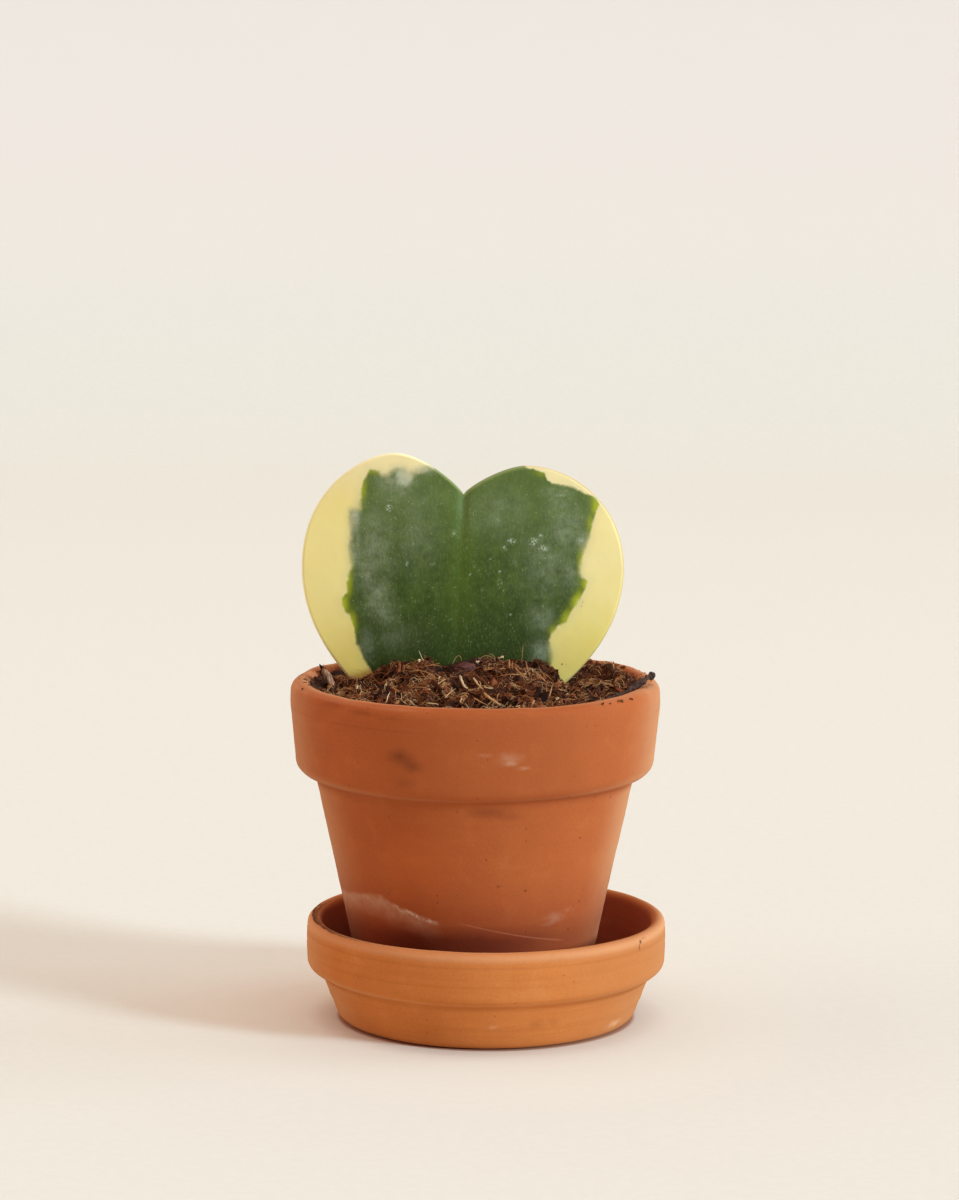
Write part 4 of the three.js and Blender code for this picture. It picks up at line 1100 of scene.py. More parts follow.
def make_clay_group():
    """Fired clay: cloudy patches, fine grain, faint level streaks and sparse dark and pale grits."""
    tree, given, end = new_group(
        "clay_body", [("Vector", "v"), ("Base", "c"), ("Deep", "c"), ("Pale", "c"), ("Clouds", "f"),
                      ("Streaks", "f"), ("Grit", "f")],
        [("Colour", "c"), ("Roughness", "f"), ("Height", "f")])
    place = given["Vector"]
    wide = noise(tree, place, 26.0, 4.0, 0.6, 0.6)
    middle = noise(tree, place, 130.0, 4.0, 0.6, 0.3)
    fine = noise(tree, place, 1500.0, 3.0, 0.7)
    level = noise(tree, stretched(tree, place, (10.0, 10.0, 900.0)), 1.0, 3.0, 0.6)
    cloud = maths(tree, "MULTIPLY_ADD", ranged(tree, wide, 0.32, 0.72), 0.6,
                  times(tree, ranged(tree, middle, 0.3, 0.75), 0.4))
    deep_share = times(tree, one_less(tree, cloud), given["Clouds"])
    colour = mixed(tree, deep_share, given["Base"], given["Deep"])
    pale_share = times(tree, ranged(tree, middle, 0.52, 0.8), given["Clouds"], 0.55)
    colour = mixed(tree, pale_share, colour, given["Pale"])
    streak = times(tree, ranged(tree, level, 0.5, 0.78), given["Streaks"])
    colour = mixed(tree, streak, colour, given["Deep"])
    grain = ranged(tree, fine, 0.3, 0.7, 0.94, 1.05, "LINEAR")
    tint = node(tree, "ShaderNodeCombineColor", None, Red=grain, Green=grain, Blue=grain).outputs[0]
    colour = mixed(tree, 1.0, colour, tint, "MULTIPLY")
    cells = node(tree, "ShaderNodeTexVoronoi", {"feature": "F1"}, Vector=place, Scale=420.0)
    chance = node(tree, "ShaderNodeSeparateColor", None, Color=cells.outputs["Color"]).outputs[0]
    grit_here = times(tree, ranged(tree, cells.outputs["Distance"], 0.17, 0.05),
                      maths(tree, "GREATER_THAN", chance, 0.86))
    colour = mixed(tree, times(tree, grit_here, given["Grit"]), colour, rgb(104, 42, 22))
    tree.links.new(colour, end.inputs["Colour"])
    rough = ranged(tree, middle, 0.3, 0.7, 0.78, 0.93, "LINEAR")
    tree.links.new(rough, end.inputs["Roughness"])
    height = maths(tree, "ADD", times(tree, fine, 0.5),
                   maths(tree, "ADD", times(tree, level, 0.35), times(tree, grit_here, -0.4)))
    tree.links.new(height, end.inputs["Height"])
    return tree


def make_patch_group():
    """A ragged patch: 1 inside an oval round a centre, 0 outside, with an edge broken by noise. Core is the
    share of the oval that is full, and below 0 for a haze that is never full."""
    tree, given, end = new_group(
        "ragged_patch", [("Vector", "v"), ("Centre", "v"), ("Stretch", "v"), ("Ragged", "f"), ("Grain", "f"),
                         ("Core", "f")],
        [("Mask", "f")])
    offset = stretched(tree, given["Vector"], given["Stretch"], given["Centre"])
    reach = node(tree, "ShaderNodeVectorMath", {"operation": "LENGTH"}, _0=offset).outputs["Value"]
    rough = noise(tree, given["Vector"], given["Grain"], 5.0, 0.65, 0.4)
    broken = maths(tree, "MULTIPLY_ADD", maths(tree, "SUBTRACT", rough, 0.5), given["Ragged"], reach)
    tree.links.new(ranged(tree, broken, 1.0, given["Core"]), end.inputs["Mask"])
    return tree


def make_bits_group():
    """Colour for loose bits of plant matter, from their tone: near-black, brown, red-brown, tan and
    straw."""
    tree, given, end = new_group("plant_bits", [("Tone", "f"), ("Vector", "v"), ("Damp", "f")],
                                 [("Colour", "c"), ("Roughness", "f"), ("Height", "f")])
    ramp = node(tree, "ShaderNodeValToRGB", None, Fac=given["Tone"])
    stops = [(0.0, rgb(44, 25, 16)), (0.22, rgb(92, 50, 30)), (0.45, rgb(142, 80, 48)),
             (0.66, rgb(178, 118, 72)), (0.86, rgb(208, 162, 110)), (1.0, rgb(238, 214, 172))]
    elements = ramp.color_ramp.elements
    elements[0].position, elements[0].color = stops[0]
    elements[1].position, elements[1].color = stops[-1]
    for position, colour in stops[1:-1]:
        elements.new(position).color = colour
    grain = noise(tree, given["Vector"], 900.0, 4.0, 0.7)
    darker = mixed(tree, ranged(tree, grain, 0.35, 0.75), ramp.outputs[0], rgb(40, 23, 18))
    colour = mixed(tree, given["Damp"], darker, ramp.outputs[0])
    tree.links.new(colour, end.inputs["Colour"])
    tree.links.new(ranged(tree, grain, 0.3, 0.7, 0.75, 1.0, "LINEAR"), end.inputs["Roughness"])
    tree.links.new(grain, end.inputs["Height"])
    return tree


# ---- materials ----

def millimetres(x, y, z):
    """A place given in millimetres, in Blender's metres."""
    return (x * MM, y * MM, z * MM)


def axes_mm(tree, place):
    """The three coordinates of a place, in millimetres, as sockets."""
    parts = node(tree, "ShaderNodeSeparateXYZ", None, Vector=place).outputs
    return [times(tree, parts[k], 1 / MM) for k in range(3)]


def level_band(tree, value, level, width):
    """1 where a value is at a level, falling to 0 at width from it."""
    return ranged(tree, maths(tree, "ABSOLUTE", maths(tree, "SUBTRACT", value, level)), width, 0.0)


def marked(tree, patch, place, colour, marks):
    """A colour with ragged marks over it: centre, half sizes, raggedness, grain, core, strength, paint."""
    for centre, half, ragged, grain, core, strength, paint in marks:
        mask = placed_group(tree, patch, Vector=place, Centre=millimetres(*centre), Ragged=ragged,
                            Grain=grain, Stretch=tuple(1 / (size * MM) for size in half), Core=core)["Mask"]
        colour = mixed(tree, times(tree, mask, strength), colour, paint)
    return colour


def painted_edge_sheen(tree, colour, share, paint):
    """Painted sheen: a colour that pales towards the outline, standing in for the light that fine dust on
    the clay catches when seen edge on.
    """
    facing = node(tree, "ShaderNodeLayerWeight", None, Blend=0.5).outputs["Facing"]
    return mixed(tree, times(tree, ranged(tree, facing, 0.42, 0.92), share), colour, paint)


def make_pot_material(clay, patch):
    """The pot's clay, with painted sheen at its outline, a dark smudge, dark red-brown marks on the rim's
    front left, painted shade in the crease and under the collar's front, a painted highlight along the lip's
    top, a veil of salt low on the wall, a fine scratch under it and a damp, dark foot."""
    material, tree, shader = new_material("pot_terracotta", Specular_IOR_Level=0.12)
    place = object_place(tree)
    x, y, z = axes_mm(tree, place)
    made = placed_group(tree, clay, Vector=place, Base=rgb(178, 92, 46), Deep=rgb(160, 77, 37),
                        Pale=rgb(194, 112, 63), Clouds=0.5, Streaks=0.14, Grit=0.45)
    colour = made["Colour"]
    crease = level_band(tree, z, 61.6, 2.6)
    # Painted sheen: the clay pales towards its outline, except in the crease under the collar.
    edge_sheen_share = times(tree, one_less(tree, crease), 0.46)
    colour = painted_edge_sheen(tree, colour, edge_sheen_share, rgb(208, 158, 112))
    damp = ranged(tree, z, 46.0, 26.0)
    uneven = ranged(tree, noise(tree, place, 60.0, 3.0), 0.25, 0.7, 0.55, 1.0)
    colour = mixed(tree, times(tree, damp, uneven, 0.62), colour, rgb(150, 62, 33))
    tide = maths(tree, "MULTIPLY_ADD", noise(tree, place, 110.0, 3.0), 5.0, z)
    middle_share = ranged(tree, maths(tree, "ABSOLUTE", maths(tree, "ADD", x, 8.0)), 30.0, 8.0, 0.22, 1.0)
    middle_share = times(tree, ranged(tree, tide, 33.5, 28.5, 0.0, 0.72), middle_share)
    colour = mixed(tree, middle_share, colour, rgb(104, 34, 20))
    # Painted shade in the crease under the collar.
    colour = mixed(tree, times(tree, crease, 0.16), colour, rgb(120, 50, 24))
    soiled = ranged(tree, noise(tree, place, 260.0, 4.0, 0.7), 0.38, 0.66, 0.15, 0.85)
    soiled = times(tree, attribute(tree, "within"), soiled)
    colour = mixed(tree, times(tree, soiled, ranged(tree, z, 86.4, 84.0, 0.25, 0.9)), colour,
                   rgb(92, 50, 32))
    here_and_there = ranged(tree, noise(tree, place, 45.0, 3.0), 0.42, 0.62)
    # A darker line at 79.7 mm, and a painted highlight along the lip's top at 84.9 mm.
    for level, width, strength, paint in ((79.7, 0.5, 0.24, rgb(134, 64, 34)),
                                          (84.9, 0.7, 0.16, rgb(216, 158, 124))):
        line = times(tree, level_band(tree, z, level, width), strength)
        colour = mixed(tree, times(tree, line, here_and_there), colour, paint)
    spots = node(tree, "ShaderNodeTexVoronoi", {"feature": "F1"}, Vector=place, Scale=300.0)
    chance = node(tree, "ShaderNodeSeparateColor", None, Color=spots.outputs["Color"]).outputs[0]
    spot = times(tree, ranged(tree, spots.outputs["Distance"], 0.15, 0.07),
                 maths(tree, "GREATER_THAN", chance, 0.80))
    spot = times(tree, spot, ranged(tree, x, -20.0, 12.0, 0.10, 0.62))
    colour = mixed(tree, spot, colour, rgb(112, 44, 24))
    brink = maths(tree, "SUBTRACT", ranged(tree, x, -26.0, -13.0, 35.8, 31.0, "LINEAR"),
                  ranged(tree, x, -29.0, -36.0, 0.0, 2.2, "LINEAR"))
    below = maths(tree, "MULTIPLY_ADD", noise(tree, place, 150.0, 4.0, 0.6), 3.0,
                  maths(tree, "SUBTRACT", brink, z))
    veil = times(tree, ranged(tree, below, 0.8, 2.6), ranged(tree, below, 8.5, 1.8))
    veil = times(tree, veil, ranged(tree, x, -10.0, -16.0), ranged(tree, y, 2.0, -6.0))
    veil = times(tree, veil, ranged(tree, noise(tree, place, 240.0, 4.0, 0.65), 0.3, 0.62, 0.4, 1.0))
    colour = mixed(tree, times(tree, veil, 0.50), colour, rgb(206, 160, 128))
    crust = times(tree, level_band(tree, below, 2.0, 0.9), ranged(tree, x, -25.0, -19.0))
    crust = times(tree, crust, ranged(tree, x, -11.0, -14.5), ranged(tree, y, 2.0, -6.0))
    crust = times(tree, crust, ranged(tree, noise(tree, place, 700.0, 4.0, 0.7), 0.42, 0.58, 0.1, 0.75))
    colour = mixed(tree, crust, colour, rgb(228, 194, 166))
    off_middle = maths(tree, "ABSOLUTE", maths(tree, "SUBTRACT", x, 4.0))
    collar_share = times(tree, ranged(tree, z, 60.0, 66.0, 0.0, 0.30),
                         ranged(tree, off_middle, 34.0, 14.0, 0.1, 1.0))
    colour = mixed(tree, collar_share, colour, rgb(150, 74, 38))
    slant = maths(tree, "MULTIPLY_ADD", x, 0.2456, z)
    stretch = times(tree, ranged(tree, x, -8.0, -3.0), ranged(tree, y, -15.0, -20.0))
    stretch = times(tree, stretch, ranged(tree, x, 20.0, 17.0, 0.0, 0.45))
    colour = mixed(tree, times(tree, level_band(tree, slant, 29.17, 0.35), stretch), colour,
                   rgb(196, 116, 84))
    salt, chalk, soot, dark_red_brown = rgb(214, 172, 144), rgb(222, 184, 152), rgb(96, 46, 26), rgb(116, 52, 28)
    colour = marked(tree, patch, place, colour, [
        ((-21.0, -42.1, 73.5), (5.4, 6.0, 3.2), 0.8, 90.0, -0.5, 0.92, soot),
        ((-18.2, -43.2, 71.2), (4.4, 6.0, 2.6), 1.0, 110.0, -0.5, 0.74, soot),
        ((-20.0, -42.7, 67.0), (4.5, 6.0, 2.4), 1.2, 120.0, -0.5, 0.36, soot),
        ((-18.0, -33.0, 46.0), (16.0, 15.0, 15.0), 0.6, 50.0, -0.6, 0.70, rgb(204, 102, 50)),
        # These two marks under the collar's front are painted shade.
        ((-0.3, -39.2, 59.4), (10.0, 9.0, 2.4), 1.2, 120.0, -0.5, 0.66, dark_red_brown),
        ((6.5, -38.2, 58.4), (6.0, 9.0, 1.8), 1.5, 160.0, -0.5, 0.40, dark_red_brown),
        ((-36.9, -31.2, 84.0), (6.0, 7.0, 1.2), 1.4, 260.0, -0.5, 0.50, dark_red_brown),
        ((-30.0, -37.2, 83.2), (7.0, 7.0, 1.1), 1.6, 260.0, -0.5, 0.46, dark_red_brown),
        ((-23.0, -40.9, 82.6), (5.0, 6.0, 0.9), 1.6, 300.0, -0.5, 0.40, dark_red_brown),
        ((4.6, -45.3, 73.6), (4.6, 6.0, 2.4), 1.5, 200.0, -0.7, 0.32, chalk),
        ((5.2, -45.2, 72.4), (2.4, 5.0, 1.0), 1.5, 420.0, -0.4, 0.40, chalk),
        ((9.0, -44.2, 71.2), (2.6, 5.0, 0.8), 1.7, 420.0, -0.4, 0.36, chalk),
        ((-1.0, -45.9, 74.6), (3.0, 5.0, 1.0), 1.8, 300.0, -0.5, 0.20, chalk),
        ((37.7, -25.6, 76.2), (0.6, 0.9, 0.5), 0.8, 900.0, 0.2, 0.60, rgb(238, 190, 160)),
        ((18.6, -28.8, 31.0), (5.0, 6.0, 2.6), 1.4, 190.0, -0.6, 0.62, salt),
        ((20.8, -27.2, 32.4), (2.8, 5.0, 1.2), 1.6, 380.0, -0.3, 0.46, salt),
        ((15.6, -30.4, 29.6), (3.4, 5.0, 1.3), 1.6, 420.0, -0.3, 0.44, salt),
        ((24.0, 30.0, 30.0), (14.0, 9.0, 3.0), 1.9, 180.0, -0.4, 0.48, salt),
        ((-26.0, 26.0, 70.0), (8.0, 12.0, 4.2), 1.6, 120.0, -0.5, 0.34, soot),
        ((28.0, 34.0, 74.0), (9.0, 9.0, 3.0), 1.6, 160.0, -0.5, 0.26, chalk),
    ])
    surface(tree, shader, colour, made["Roughness"], made["Height"], 0.00016, 0.6)
    return material


def make_saucer_material(clay, patch):
    """The saucer's clay, lighter and more orange outside, wet dark red within, with a chip at its lip, a
    dark line along the lip's left and level turning lines, with painted sheen at its outline, a painted
    highlight along the lip, and painted shade in the crease and along the foot's bottom edge."""
    material, tree, shader = new_material("saucer_terracotta", Specular_IOR_Level=0.02)
    place = object_place(tree)
    x, y, z = axes_mm(tree, place)
    made = placed_group(tree, clay, Vector=place, Base=rgb(206, 123, 64), Deep=rgb(184, 103, 50),
                        Pale=rgb(216, 144, 88), Clouds=0.45, Streaks=0.46, Grit=0.35)
    colour = made["Colour"]
    crease = level_band(tree, z, 11.8, 1.6)
    # Painted sheen: the clay pales towards its outline, except in the crease above the foot.
    edge_sheen_share = times(tree, one_less(tree, crease), ranged(tree, x, 0.0, 42.0, 0.40, 0.30))
    colour = painted_edge_sheen(tree, colour, edge_sheen_share, rgb(214, 168, 122))
    colour = mixed(tree, ranged(tree, x, 10.0, 40.0, 0.0, 0.55), colour, rgb(172, 106, 62))
    within = attribute(tree, "within")
    outside = one_less(tree, within)
    # A painted highlight along the lip, two darker turned lines, painted shade in the crease and painted
    # shade along the foot's bottom edge.
    for level, width, strength, paint in ((SAUCER_HEIGHT - 1.2, 1.9, 0.40, rgb(226, 166, 122)),
                                          (SAUCER_HEIGHT - 3.6, 0.6, 0.16, rgb(150, 76, 42)),
                                          (SAUCER_HEIGHT - 6.6, 0.5, 0.10, rgb(160, 84, 46)),
                                          (11.6, 1.5, 0.16, rgb(140, 70, 34)),
                                          (0.0, 0.7, 0.9, rgb(128, 52, 20))):
        line = times(tree, level_band(tree, z, level, width), strength)
        colour = mixed(tree, times(tree, line, outside), colour, paint)
    wobble = maths(tree, "MULTIPLY_ADD", noise(tree, place, 70.0), 3.0, z)
    wet = times(tree, within, ranged(tree, wobble, 27.4, 25.0))
    colour = mixed(tree, times(tree, wet, 0.82), colour, rgb(160, 86, 66))
    lip_line = level_band(tree, maths(tree, "MULTIPLY_ADD", noise(tree, place, 200.0), 0.5, z), 25.95, 0.22)
    lip_line = times(tree, lip_line, outside, ranged(tree, x, -22.0, -42.0))
    lip_line = times(tree, lip_line, ranged(tree, y, 18.0, 8.0, 0.0, 0.9))
    colour = mixed(tree, lip_line, colour, rgb(70, 32, 20))
    crack, stain, orange = rgb(70, 32, 20), rgb(150, 82, 46), rgb(180, 98, 50)
    colour = marked(tree, patch, place, colour, [
        ((37.9, -24.0, 24.4), (0.7, 0.8, 0.9), 1.0, 900.0, 0.2, 0.80, crack),
        ((37.6, -24.6, 23.2), (0.35, 0.5, 1.3), 0.8, 900.0, 0.3, 0.55, crack),
        ((39.4, -22.4, 24.9), (2.2, 2.2, 0.28), 1.2, 900.0, 0.1, 0.50, crack),
        ((17.8, -41.2, 23.8), (9.0, 6.0, 2.0), 1.6, 160.0, -0.4, 0.22, stain),
        ((12.4, -38.0, 6.6), (4.0, 6.0, 2.8), 1.6, 260.0, -0.4, 0.42, stain),
        ((16.5, -36.4, 7.2), (3.0, 6.0, 2.2), 1.6, 260.0, -0.4, 0.36, stain),
        ((2.0, -39.2, 6.6), (2.2, 4.0, 0.8), 1.6, 500.0, -0.2, 0.30, rgb(232, 176, 130)),
        ((31.0, -20.5, 3.0), (5.0, 6.0, 1.6), 1.8, 400.0, -0.3, 0.42, rgb(236, 192, 150)),
        ((-30.0, -33.0, 17.0), (13.0, 9.0, 4.0), 1.4, 80.0, -0.4, 0.25, orange),
        ((-24.0, -34.0, 16.5), (3.0, 4.0, 0.8), 1.6, 400.0, 0.0, 0.34, stain),
        ((-20.0, 36.0, 12.0), (15.0, 9.0, 5.0), 1.6, 90.0, -0.4, 0.30, stain),
        ((30.0, 32.0, 18.0), (12.0, 12.0, 3.0), 1.8, 140.0, -0.4, 0.30, rgb(230, 178, 136)),
    ])
    surface(tree, shader, colour, made["Roughness"], made["Height"], 0.00014, 0.55)
    return material


def make_leaf_material():
    """Waxy leaf: a cream-yellow margin, a green middle with a grey bloom, lime slivers where the two meet,
    chalky scale marks and specks, a brighter midrib and a pale skin along the edge, with painted sheen
    towards the top and painted light on the margin's right half and the rim's left."""
    material, tree, shader = new_material("hoya_leaf", Specular_IOR_Level=0.2, Coat_Weight=0.04,
                                          Coat_Roughness=0.35, Subsurface_Weight=0.08,
                                          Subsurface_Scale=0.002)
    place = object_place(tree)
    depth = attribute(tree, "green_depth")
    edge = attribute(tree, "edge_distance")
    bloom, lime, marks = (attribute(tree, name) for name in ("bloom", "lime", "scale_marks"))
    midrib = maths(tree, "ABSOLUTE", attribute(tree, "midrib"))
    ragged = maths(tree, "SUBTRACT", noise(tree, place, 420.0, 4.0, 0.65), 0.5)
    coarse = maths(tree, "SUBTRACT", noise(tree, place, 120.0, 3.0, 0.6), 0.5)
    broken = maths(tree, "ADD", depth, maths(tree, "MULTIPLY_ADD", ragged, 1.5, times(tree, coarse, 1.6)))
    softness = maths(tree, "MULTIPLY_ADD", bloom, 1.5, 0.3)
    green_share = ranged(tree, maths(tree, "DIVIDE", broken, softness), -1.0, 1.0)

    # the margin
    warm = noise(tree, place, 45.0, 3.0)
    yellow = mixed(tree, ranged(tree, warm, 0.35, 0.7), rgb(243, 223, 144), rgb(240, 214, 120))
    x, _, height_mm = axes_mm(tree, place)
    # Painted sheen: the margin pales towards the top.
    yellow = mixed(tree, ranged(tree, height_mm, 122.0, 141.0, 0.0, 0.6), yellow, rgb(242, 224, 178))
    yellow = mixed(tree, ranged(tree, height_mm, 108.0, 86.0, 0.0, 0.55), yellow, rgb(236, 210, 92))
    # Painted light: the margin's right half paler, where the light falls.
    painted_light_right = ranged(tree, x, 0.0, 30.0, 0.0, 0.4)
    painted_light_right = times(tree, painted_light_right, ranged(tree, height_mm, 96.0, 116.0))
    yellow = mixed(tree, painted_light_right, yellow, rgb(244, 222, 168))
    near_green = times(tree, ranged(tree, broken, -2.6, -0.2),
                       maths(tree, "MULTIPLY_ADD", bloom, 0.60, 0.12))
    yellow = mixed(tree, near_green, yellow, rgb(182, 176, 140))

    # the green middle
    streaks = noise(tree, stretched(tree, place, (900.0, 900.0, 190.0)), 1.0, 4.0, 0.65)
    mottle = noise(tree, place, 330.0, 5.0, 0.7, 0.3)
    fine = noise(tree, stretched(tree, place, (2400.0, 2400.0, 900.0)), 1.0, 3.0, 0.7)
    green = mixed(tree, ranged(tree, mottle, 0.3, 0.7), rgb(54, 70, 18), rgb(80, 98, 32))
    green = mixed(tree, ranged(tree, streaks, 0.35, 0.75, 0.0, 0.45), green, rgb(48, 64, 20))
    rib = ranged(tree, maths(tree, "MULTIPLY_ADD", coarse, 4.0, midrib), 6.5, 0.3, 0.0, 0.6)
    green = mixed(tree, rib, green, rgb(78, 98, 20))
    lower = ranged(tree, height_mm, 108.0, 88.0, 0.0, 0.75)
    green = mixed(tree, lower, green, rgb(42, 56, 12))
    cloudy = ranged(tree, noise(tree, place, 300.0, 5.0, 0.75), 0.32, 0.66, 0.30, 1.0)
    haze = times(tree, bloom, cloudy, ranged(tree, fine, 0.3, 0.62, 0.62, 1.0))
    # Painted sheen: the green pales towards the top.
    green = mixed(tree, ranged(tree, height_mm, 108.0, 134.0, 0.0, 0.38), green, rgb(112, 130, 66))
    green = mixed(tree, times(tree, haze, 0.95), green, rgb(150, 156, 124))
    frost = times(tree, ranged(tree, bloom, 0.62, 1.0), ranged(tree, cloudy, 0.3, 1.0, 0.3, 0.85))
    frost = times(tree, frost, ranged(tree, height_mm, 120.0, 127.0, 0.12, 1.0))
    green = mixed(tree, frost, green, rgb(188, 188, 156))
    green = mixed(tree, ranged(tree, fine, 0.50, 0.70, 0.0, 0.26), green, rgb(128, 142, 92))
    lime_share = times(tree, lime, ranged(tree, broken, 3.0, 0.4))
    green = mixed(tree, lime_share, green, rgb(170, 176, 28))
    colour = mixed(tree, green_share, yellow, green)

    # chalky marks, specks and the edge
    dots = node(tree, "ShaderNodeTexVoronoi", {"feature": "F1"}, Vector=place, Scale=2100.0)
    chance = node(tree, "ShaderNodeSeparateColor", None, Color=dots.outputs["Color"]).outputs
    speck = times(tree, ranged(tree, dots.outputs["Distance"], 0.42, 0.15),
                  maths(tree, "GREATER_THAN", chance[0], 0.90))
    speck = times(tree, speck, green_share, ranged(tree, mottle, 0.35, 0.7, 0.06, 0.40))
    chalk = noise(tree, place, 1900.0, 5.0, 0.75)
    flaky = times(tree, ranged(tree, marks, 0.15, 0.8), ranged(tree, chalk, 0.46, 0.60))
    colour = mixed(tree, maths(tree, "MAXIMUM", speck, times(tree, flaky, 0.85)), colour, rgb(200, 206, 176))
    dirt = ranged(tree, maths(tree, "MULTIPLY_ADD", ragged, 0.8, attribute(tree, "dirt")), 0.35, 0.6)
    colour = mixed(tree, times(tree, dirt, 0.75), colour, rgb(74, 54, 26))
    skin = times(tree, ranged(tree, edge, 1.5, 0.2), green_share)
    colour = mixed(tree, times(tree, skin, 0.55), colour, rgb(158, 168, 104))
    rim = times(tree, ranged(tree, edge, 0.7, 0.0), one_less(tree, green_share))
    side_share = ranged(tree, x, -10.0, 30.0, 0.10, 0.85)
    colour = mixed(tree, times(tree, rim, side_share), colour, rgb(186, 154, 92))
    # Painted light: the rim paler at the left, lifting the shade there.
    painted_light_left = ranged(tree, x, -5.0, -30.0, 0.0, 0.8)
    colour = mixed(tree, times(tree, rim, painted_light_left), colour, rgb(250, 244, 196))
    back_share = one_less(tree, attribute(tree, "front"))
    colour = mixed(tree, times(tree, back_share, green_share, 0.45), colour, rgb(128, 148, 84))
    rough = maths(tree, "ADD", ranged(tree, mottle, 0.3, 0.7, 0.42, 0.56, "LINEAR"), times(tree, haze, 0.18))
    height = maths(tree, "ADD", times(tree, chalk, 0.25),
                   maths(tree, "ADD", times(tree, streaks, 0.35), times(tree, flaky, 0.4)))
    surface(tree, shader, colour, rough, height, 0.00010, 0.6)
    return material


def make_bits_material(name, bits, damp):
    """Loose plant matter, coloured by each bit's own tone."""
    material, tree, shader = new_material(name, Specular_IOR_Level=0.05)
    made = placed_group(tree, bits, Tone=attribute(tree, "tone"), Vector=object_place(tree), Damp=damp)
    surface(tree, shader, made["Colour"], made["Roughness"], made["Height"], 0.0002, 0.6)
    return material


def make_bed_material(bits):
    """The bed between the loose bits: dark, with red-brown and tan flecks from noise."""
    material, tree, shader = new_material("soil_mix", Specular_IOR_Level=0.2)
    place = object_place(tree)
    flecks = noise(tree, place, 700.0, 5.0, 0.75, 1.2)
    wide = noise(tree, place, 110.0, 3.0)
    tone = times(tree, ranged(tree, flecks, 0.35, 0.8, 0.0, 0.6), ranged(tree, wide, 0.3, 0.7, 0.4, 1.0))
    made = placed_group(tree, bits, Tone=tone, Vector=place, Damp=0.3)
    surface(tree, shader, made["Colour"], made["Roughness"], flecks, 0.0006, 1.0)
    return material


def make_bark_material(name, dark, light, grain_scale):
    """Bark or wood: fibres along the grain in two colours, with deep dark lines between them."""
    material, tree, shader = new_material(name, Specular_IOR_Level=0.25)
    place = object_place(tree)
    grain = noise(tree, stretched(tree, place, grain_scale), 1.0, 5.0, 0.65, 0.6)
    fine = noise(tree, place, 2200.0, 3.0, 0.7)
    colour = mixed(tree, ranged(tree, grain, 0.35, 0.68), dark, light)
    colour = mixed(tree, ranged(tree, fine, 0.5, 0.8, 0.0, 0.4), colour, dark)
    surface(tree, shader, colour, ranged(tree, grain, 0.3, 0.7, 0.9, 0.65, "LINEAR"), grain, 0.0003, 0.9)
    return material


def make_stage_material():
    """Plain cream paper with the faintest tooth, warmer up its rise, with painted light round the saucer
    that lifts its shade, and painted shade with the clay's warm reflection in a thin ring at the saucer's
    foot."""
    material, tree, shader = new_material("studio_paper", Specular_IOR_Level=0.1, Roughness=0.95)
    place = object_place(tree)
    tooth = noise(tree, place, 350.0, 2.0)
    colour = mixed(tree, ranged(tree, tooth, 0.3, 0.7), rgb(223, 219, 207), rgb(225, 221, 209))
    _, _, height_mm = axes_mm(tree, place)
    colour = mixed(tree, ranged(tree, height_mm, 20.0, 160.0), colour, rgb(229, 220, 210))
    away = node(tree, "ShaderNodeVectorMath", {"operation": "LENGTH"},
                _0=stretched(tree, place, (1 / MM, 1 / MM, 1 / MM))).outputs["Value"]
    # Painted light round the saucer, lifting the shade on the paper there.
    colour = mixed(tree, ranged(tree, away, 100.0, 38.0, 0.0, 0.36), colour, rgb(248, 244, 228))
    # Painted shade and warm clay reflection in a thin ring at the saucer's foot.
    colour = mixed(tree, ranged(tree, away, 37.9, 36.6, 0.0, 0.82), colour, rgb(186, 112, 62))
    surface(tree, shader, colour)
    return material


# ---- loose bark ----

def add_sliver(material):
    """The dark sliver over the rim: a rod along a line bent at its joints, with knots, ridges and a ragged
    skin."""
    path = softened(resampled(SLIVER_LINE, 0.22), 14)
    t = np.linspace(0, 1, len(path))
    knot = 0.26 * np.exp(-((t - 0.93) / 0.05) ** 2)
    radius = 0.66 + 0.16 * np.sin(11 * t + 0.5) + 0.10 * np.sin(29 * t) + knot
    radius = radius * np.clip((1.0 - t) / 0.02 + 0.45, 0, 1)
    points, quads, triangles = many_rods(path[None], radius[None], 22)
    ragged = np.stack([layered_noise(points + 9 * k, 0.9, 3) for k in range(3)], -1)
    mesh_piece("bark_sliver_rough", points + 0.26 * ragged + POT_AXIS, quads, triangles, material,
               "dark_bark", "bark_sliver")


def add_chip(material):
    """The pale chip: a split stick whose section is an uneven polygon, kept along its length, with broken
    ends."""
    low, high = (np.array(corner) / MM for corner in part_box("wood_chip"))
    steps = 26
    start = (low[0] + 0.2, high[1] - 0.9, high[2] - 0.5)
    end = (high[0] - 0.2, low[1] + 0.9, low[2] + 0.2)
    path = np.linspace(start, end, steps)
    t = np.linspace(0, 1, steps)
    radius = 0.80 + 0.10 * np.sin(7 * t)
    points, quads, triangles = many_rods(path[None], radius[None], 28)
    along = (high - low) * [1, -1, -1]
    along = along / np.linalg.norm(along)
    from_axis = points - path[0] - ((points - path[0]) @ along)[:, None] * along
    ridges = 0.42 * layered_noise(from_axis * 1.3 + 3, 0.8, 3)[:, None] * from_axis
    broken = 0.5 * lattice_noise(from_axis * 2.0 + 11, 0.7)[:, None] * along
    points = points + ridges + broken + 0.06 * layered_noise(points, 0.5, 2)[:, None]
    mesh_piece("wood_chip_split", points, quads, triangles, material, "pale_wood", "wood_chip")


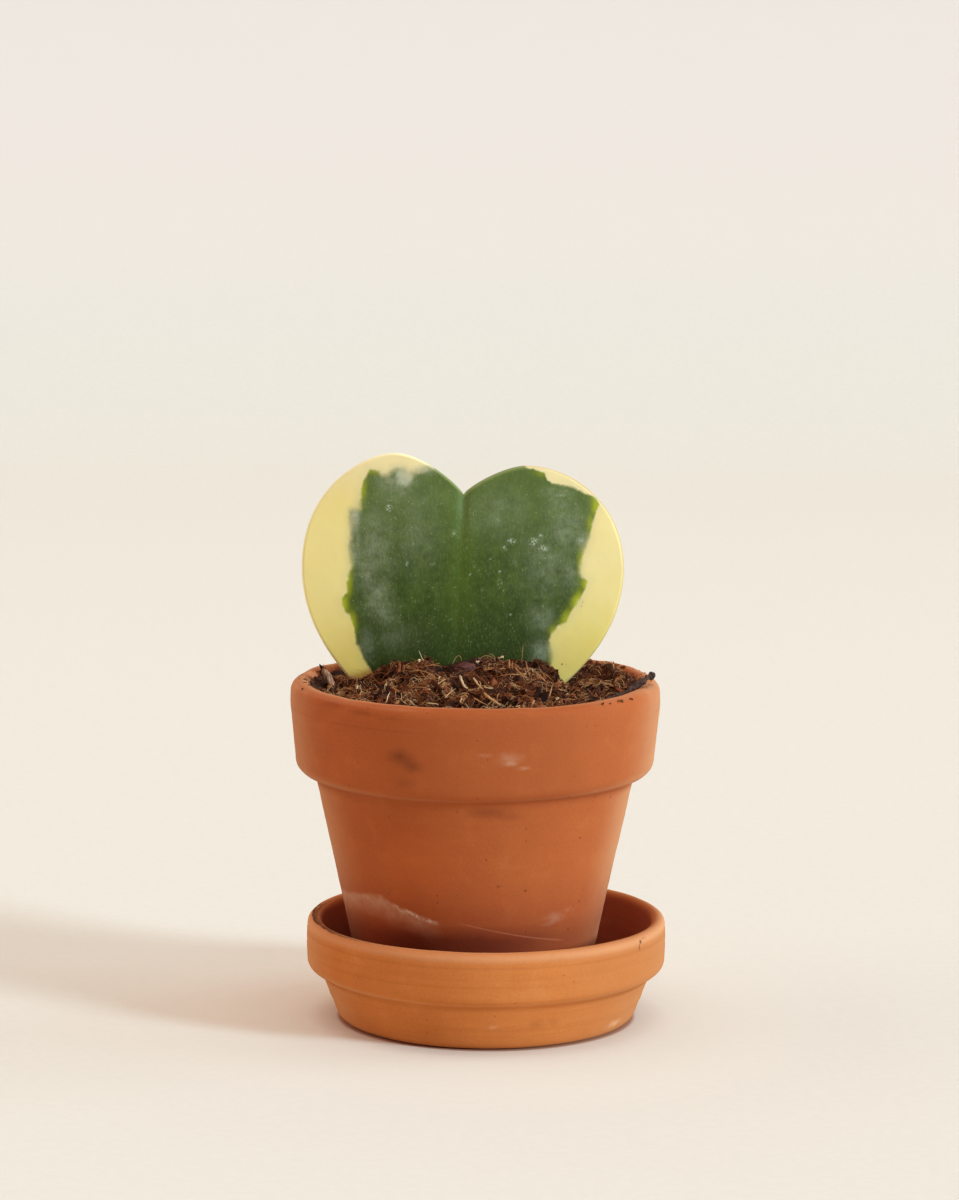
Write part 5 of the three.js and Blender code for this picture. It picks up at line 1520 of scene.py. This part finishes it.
def add_nugget(material):
    """The red-brown nugget: a ball stretched to its CAD box, roughened by noise and sunk in the soil."""
    low, high = (np.array(corner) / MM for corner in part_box("bark_nugget"))
    shape, faces = finer_ball(*finer_ball(*finer_ball(*finer_ball(*BALL))))
    shape = shape * (1 + 0.22 * layered_noise(shape * (high - low) / 2 + 3, 1.5, 4)[:, None])
    shape = shape / np.abs(shape).max(0)
    points = (low + high) / 2 + NUGGET_SHIFT + shape * (high - low) / 2
    mesh_piece("bark_nugget_rough", points, [], faces, material, "red_bark", "bark_nugget")


# ---- stage ----

def add_stage(material):
    """A sheet of paper that runs level under the plant and curves up behind it: the height follows a quarter
    circle where the level part ends, then a straight rise."""
    bend = np.radians(np.linspace(0, 90, 24))
    radius, front_end, level_end, top, half_width = 0.9, -2.2, 1.1, 3.2, 3.0
    y = np.concatenate([[front_end], level_end + radius * np.sin(bend), [level_end + radius]])
    z = np.concatenate([[0.0], radius * (1 - np.cos(bend)), [top]])
    points = np.stack([np.stack([np.full_like(y, side), y, z], -1) for side in (-half_width, half_width)], 1)
    mesh = bpy.data.meshes.new("studio_floor")
    count = len(y)
    i = np.arange(count - 1)
    faces = np.stack([2 * i, 2 * i + 1, 2 * i + 3, 2 * i + 2], -1)
    mesh.from_pydata(points.reshape(-1, 3).tolist(), [], faces.tolist())
    mesh.polygons.foreach_set("use_smooth", np.ones(len(faces), bool))
    mesh.materials.append(material)
    floor = bpy.data.objects.new("studio_floor", mesh)
    bpy.context.scene.collection.objects.link(floor)


# ---- the whole ----

add_camera()
add_lights()
clay_group = make_clay_group()
patch_group = make_patch_group()
bits_group = make_bits_group()
bits_material = make_bits_material("soil_bits", bits_group, 0.35)
fibre_material = make_bits_material("coir_fibre", bits_group, 0.75)
sliver_material = make_bark_material("dark_bark", rgb(26, 15, 11), rgb(88, 52, 36), (1100.0, 1100.0, 1100.0))
chip_material = make_bark_material("pale_wood", rgb(104, 62, 42), rgb(200, 156, 122),
                                   (2600.0, 1500.0, 330.0))
nugget_material = make_bark_material("red_bark", rgb(62, 32, 27), rgb(112, 62, 50), (260.0, 260.0, 1100.0))

add_pot(make_pot_material(clay_group, patch_group))
add_saucer(make_saucer_material(clay_group, patch_group))
add_leaf(make_leaf_material())
add_soil_bed(make_bed_material(bits_group))
add_crumbs(bits_material)
add_fibres(fibre_material)
add_tufts(fibre_material)
add_standing_hairs(fibre_material)
add_splinters(fibre_material)
add_white_grains(fibre_material)
add_pale_grains(bits_material)
add_rim_crumbs(bits_material)
add_flakes(bits_material)
add_sliver(sliver_material)
add_chip(chip_material)
add_nugget(nugget_material)
add_stage(make_stage_material())
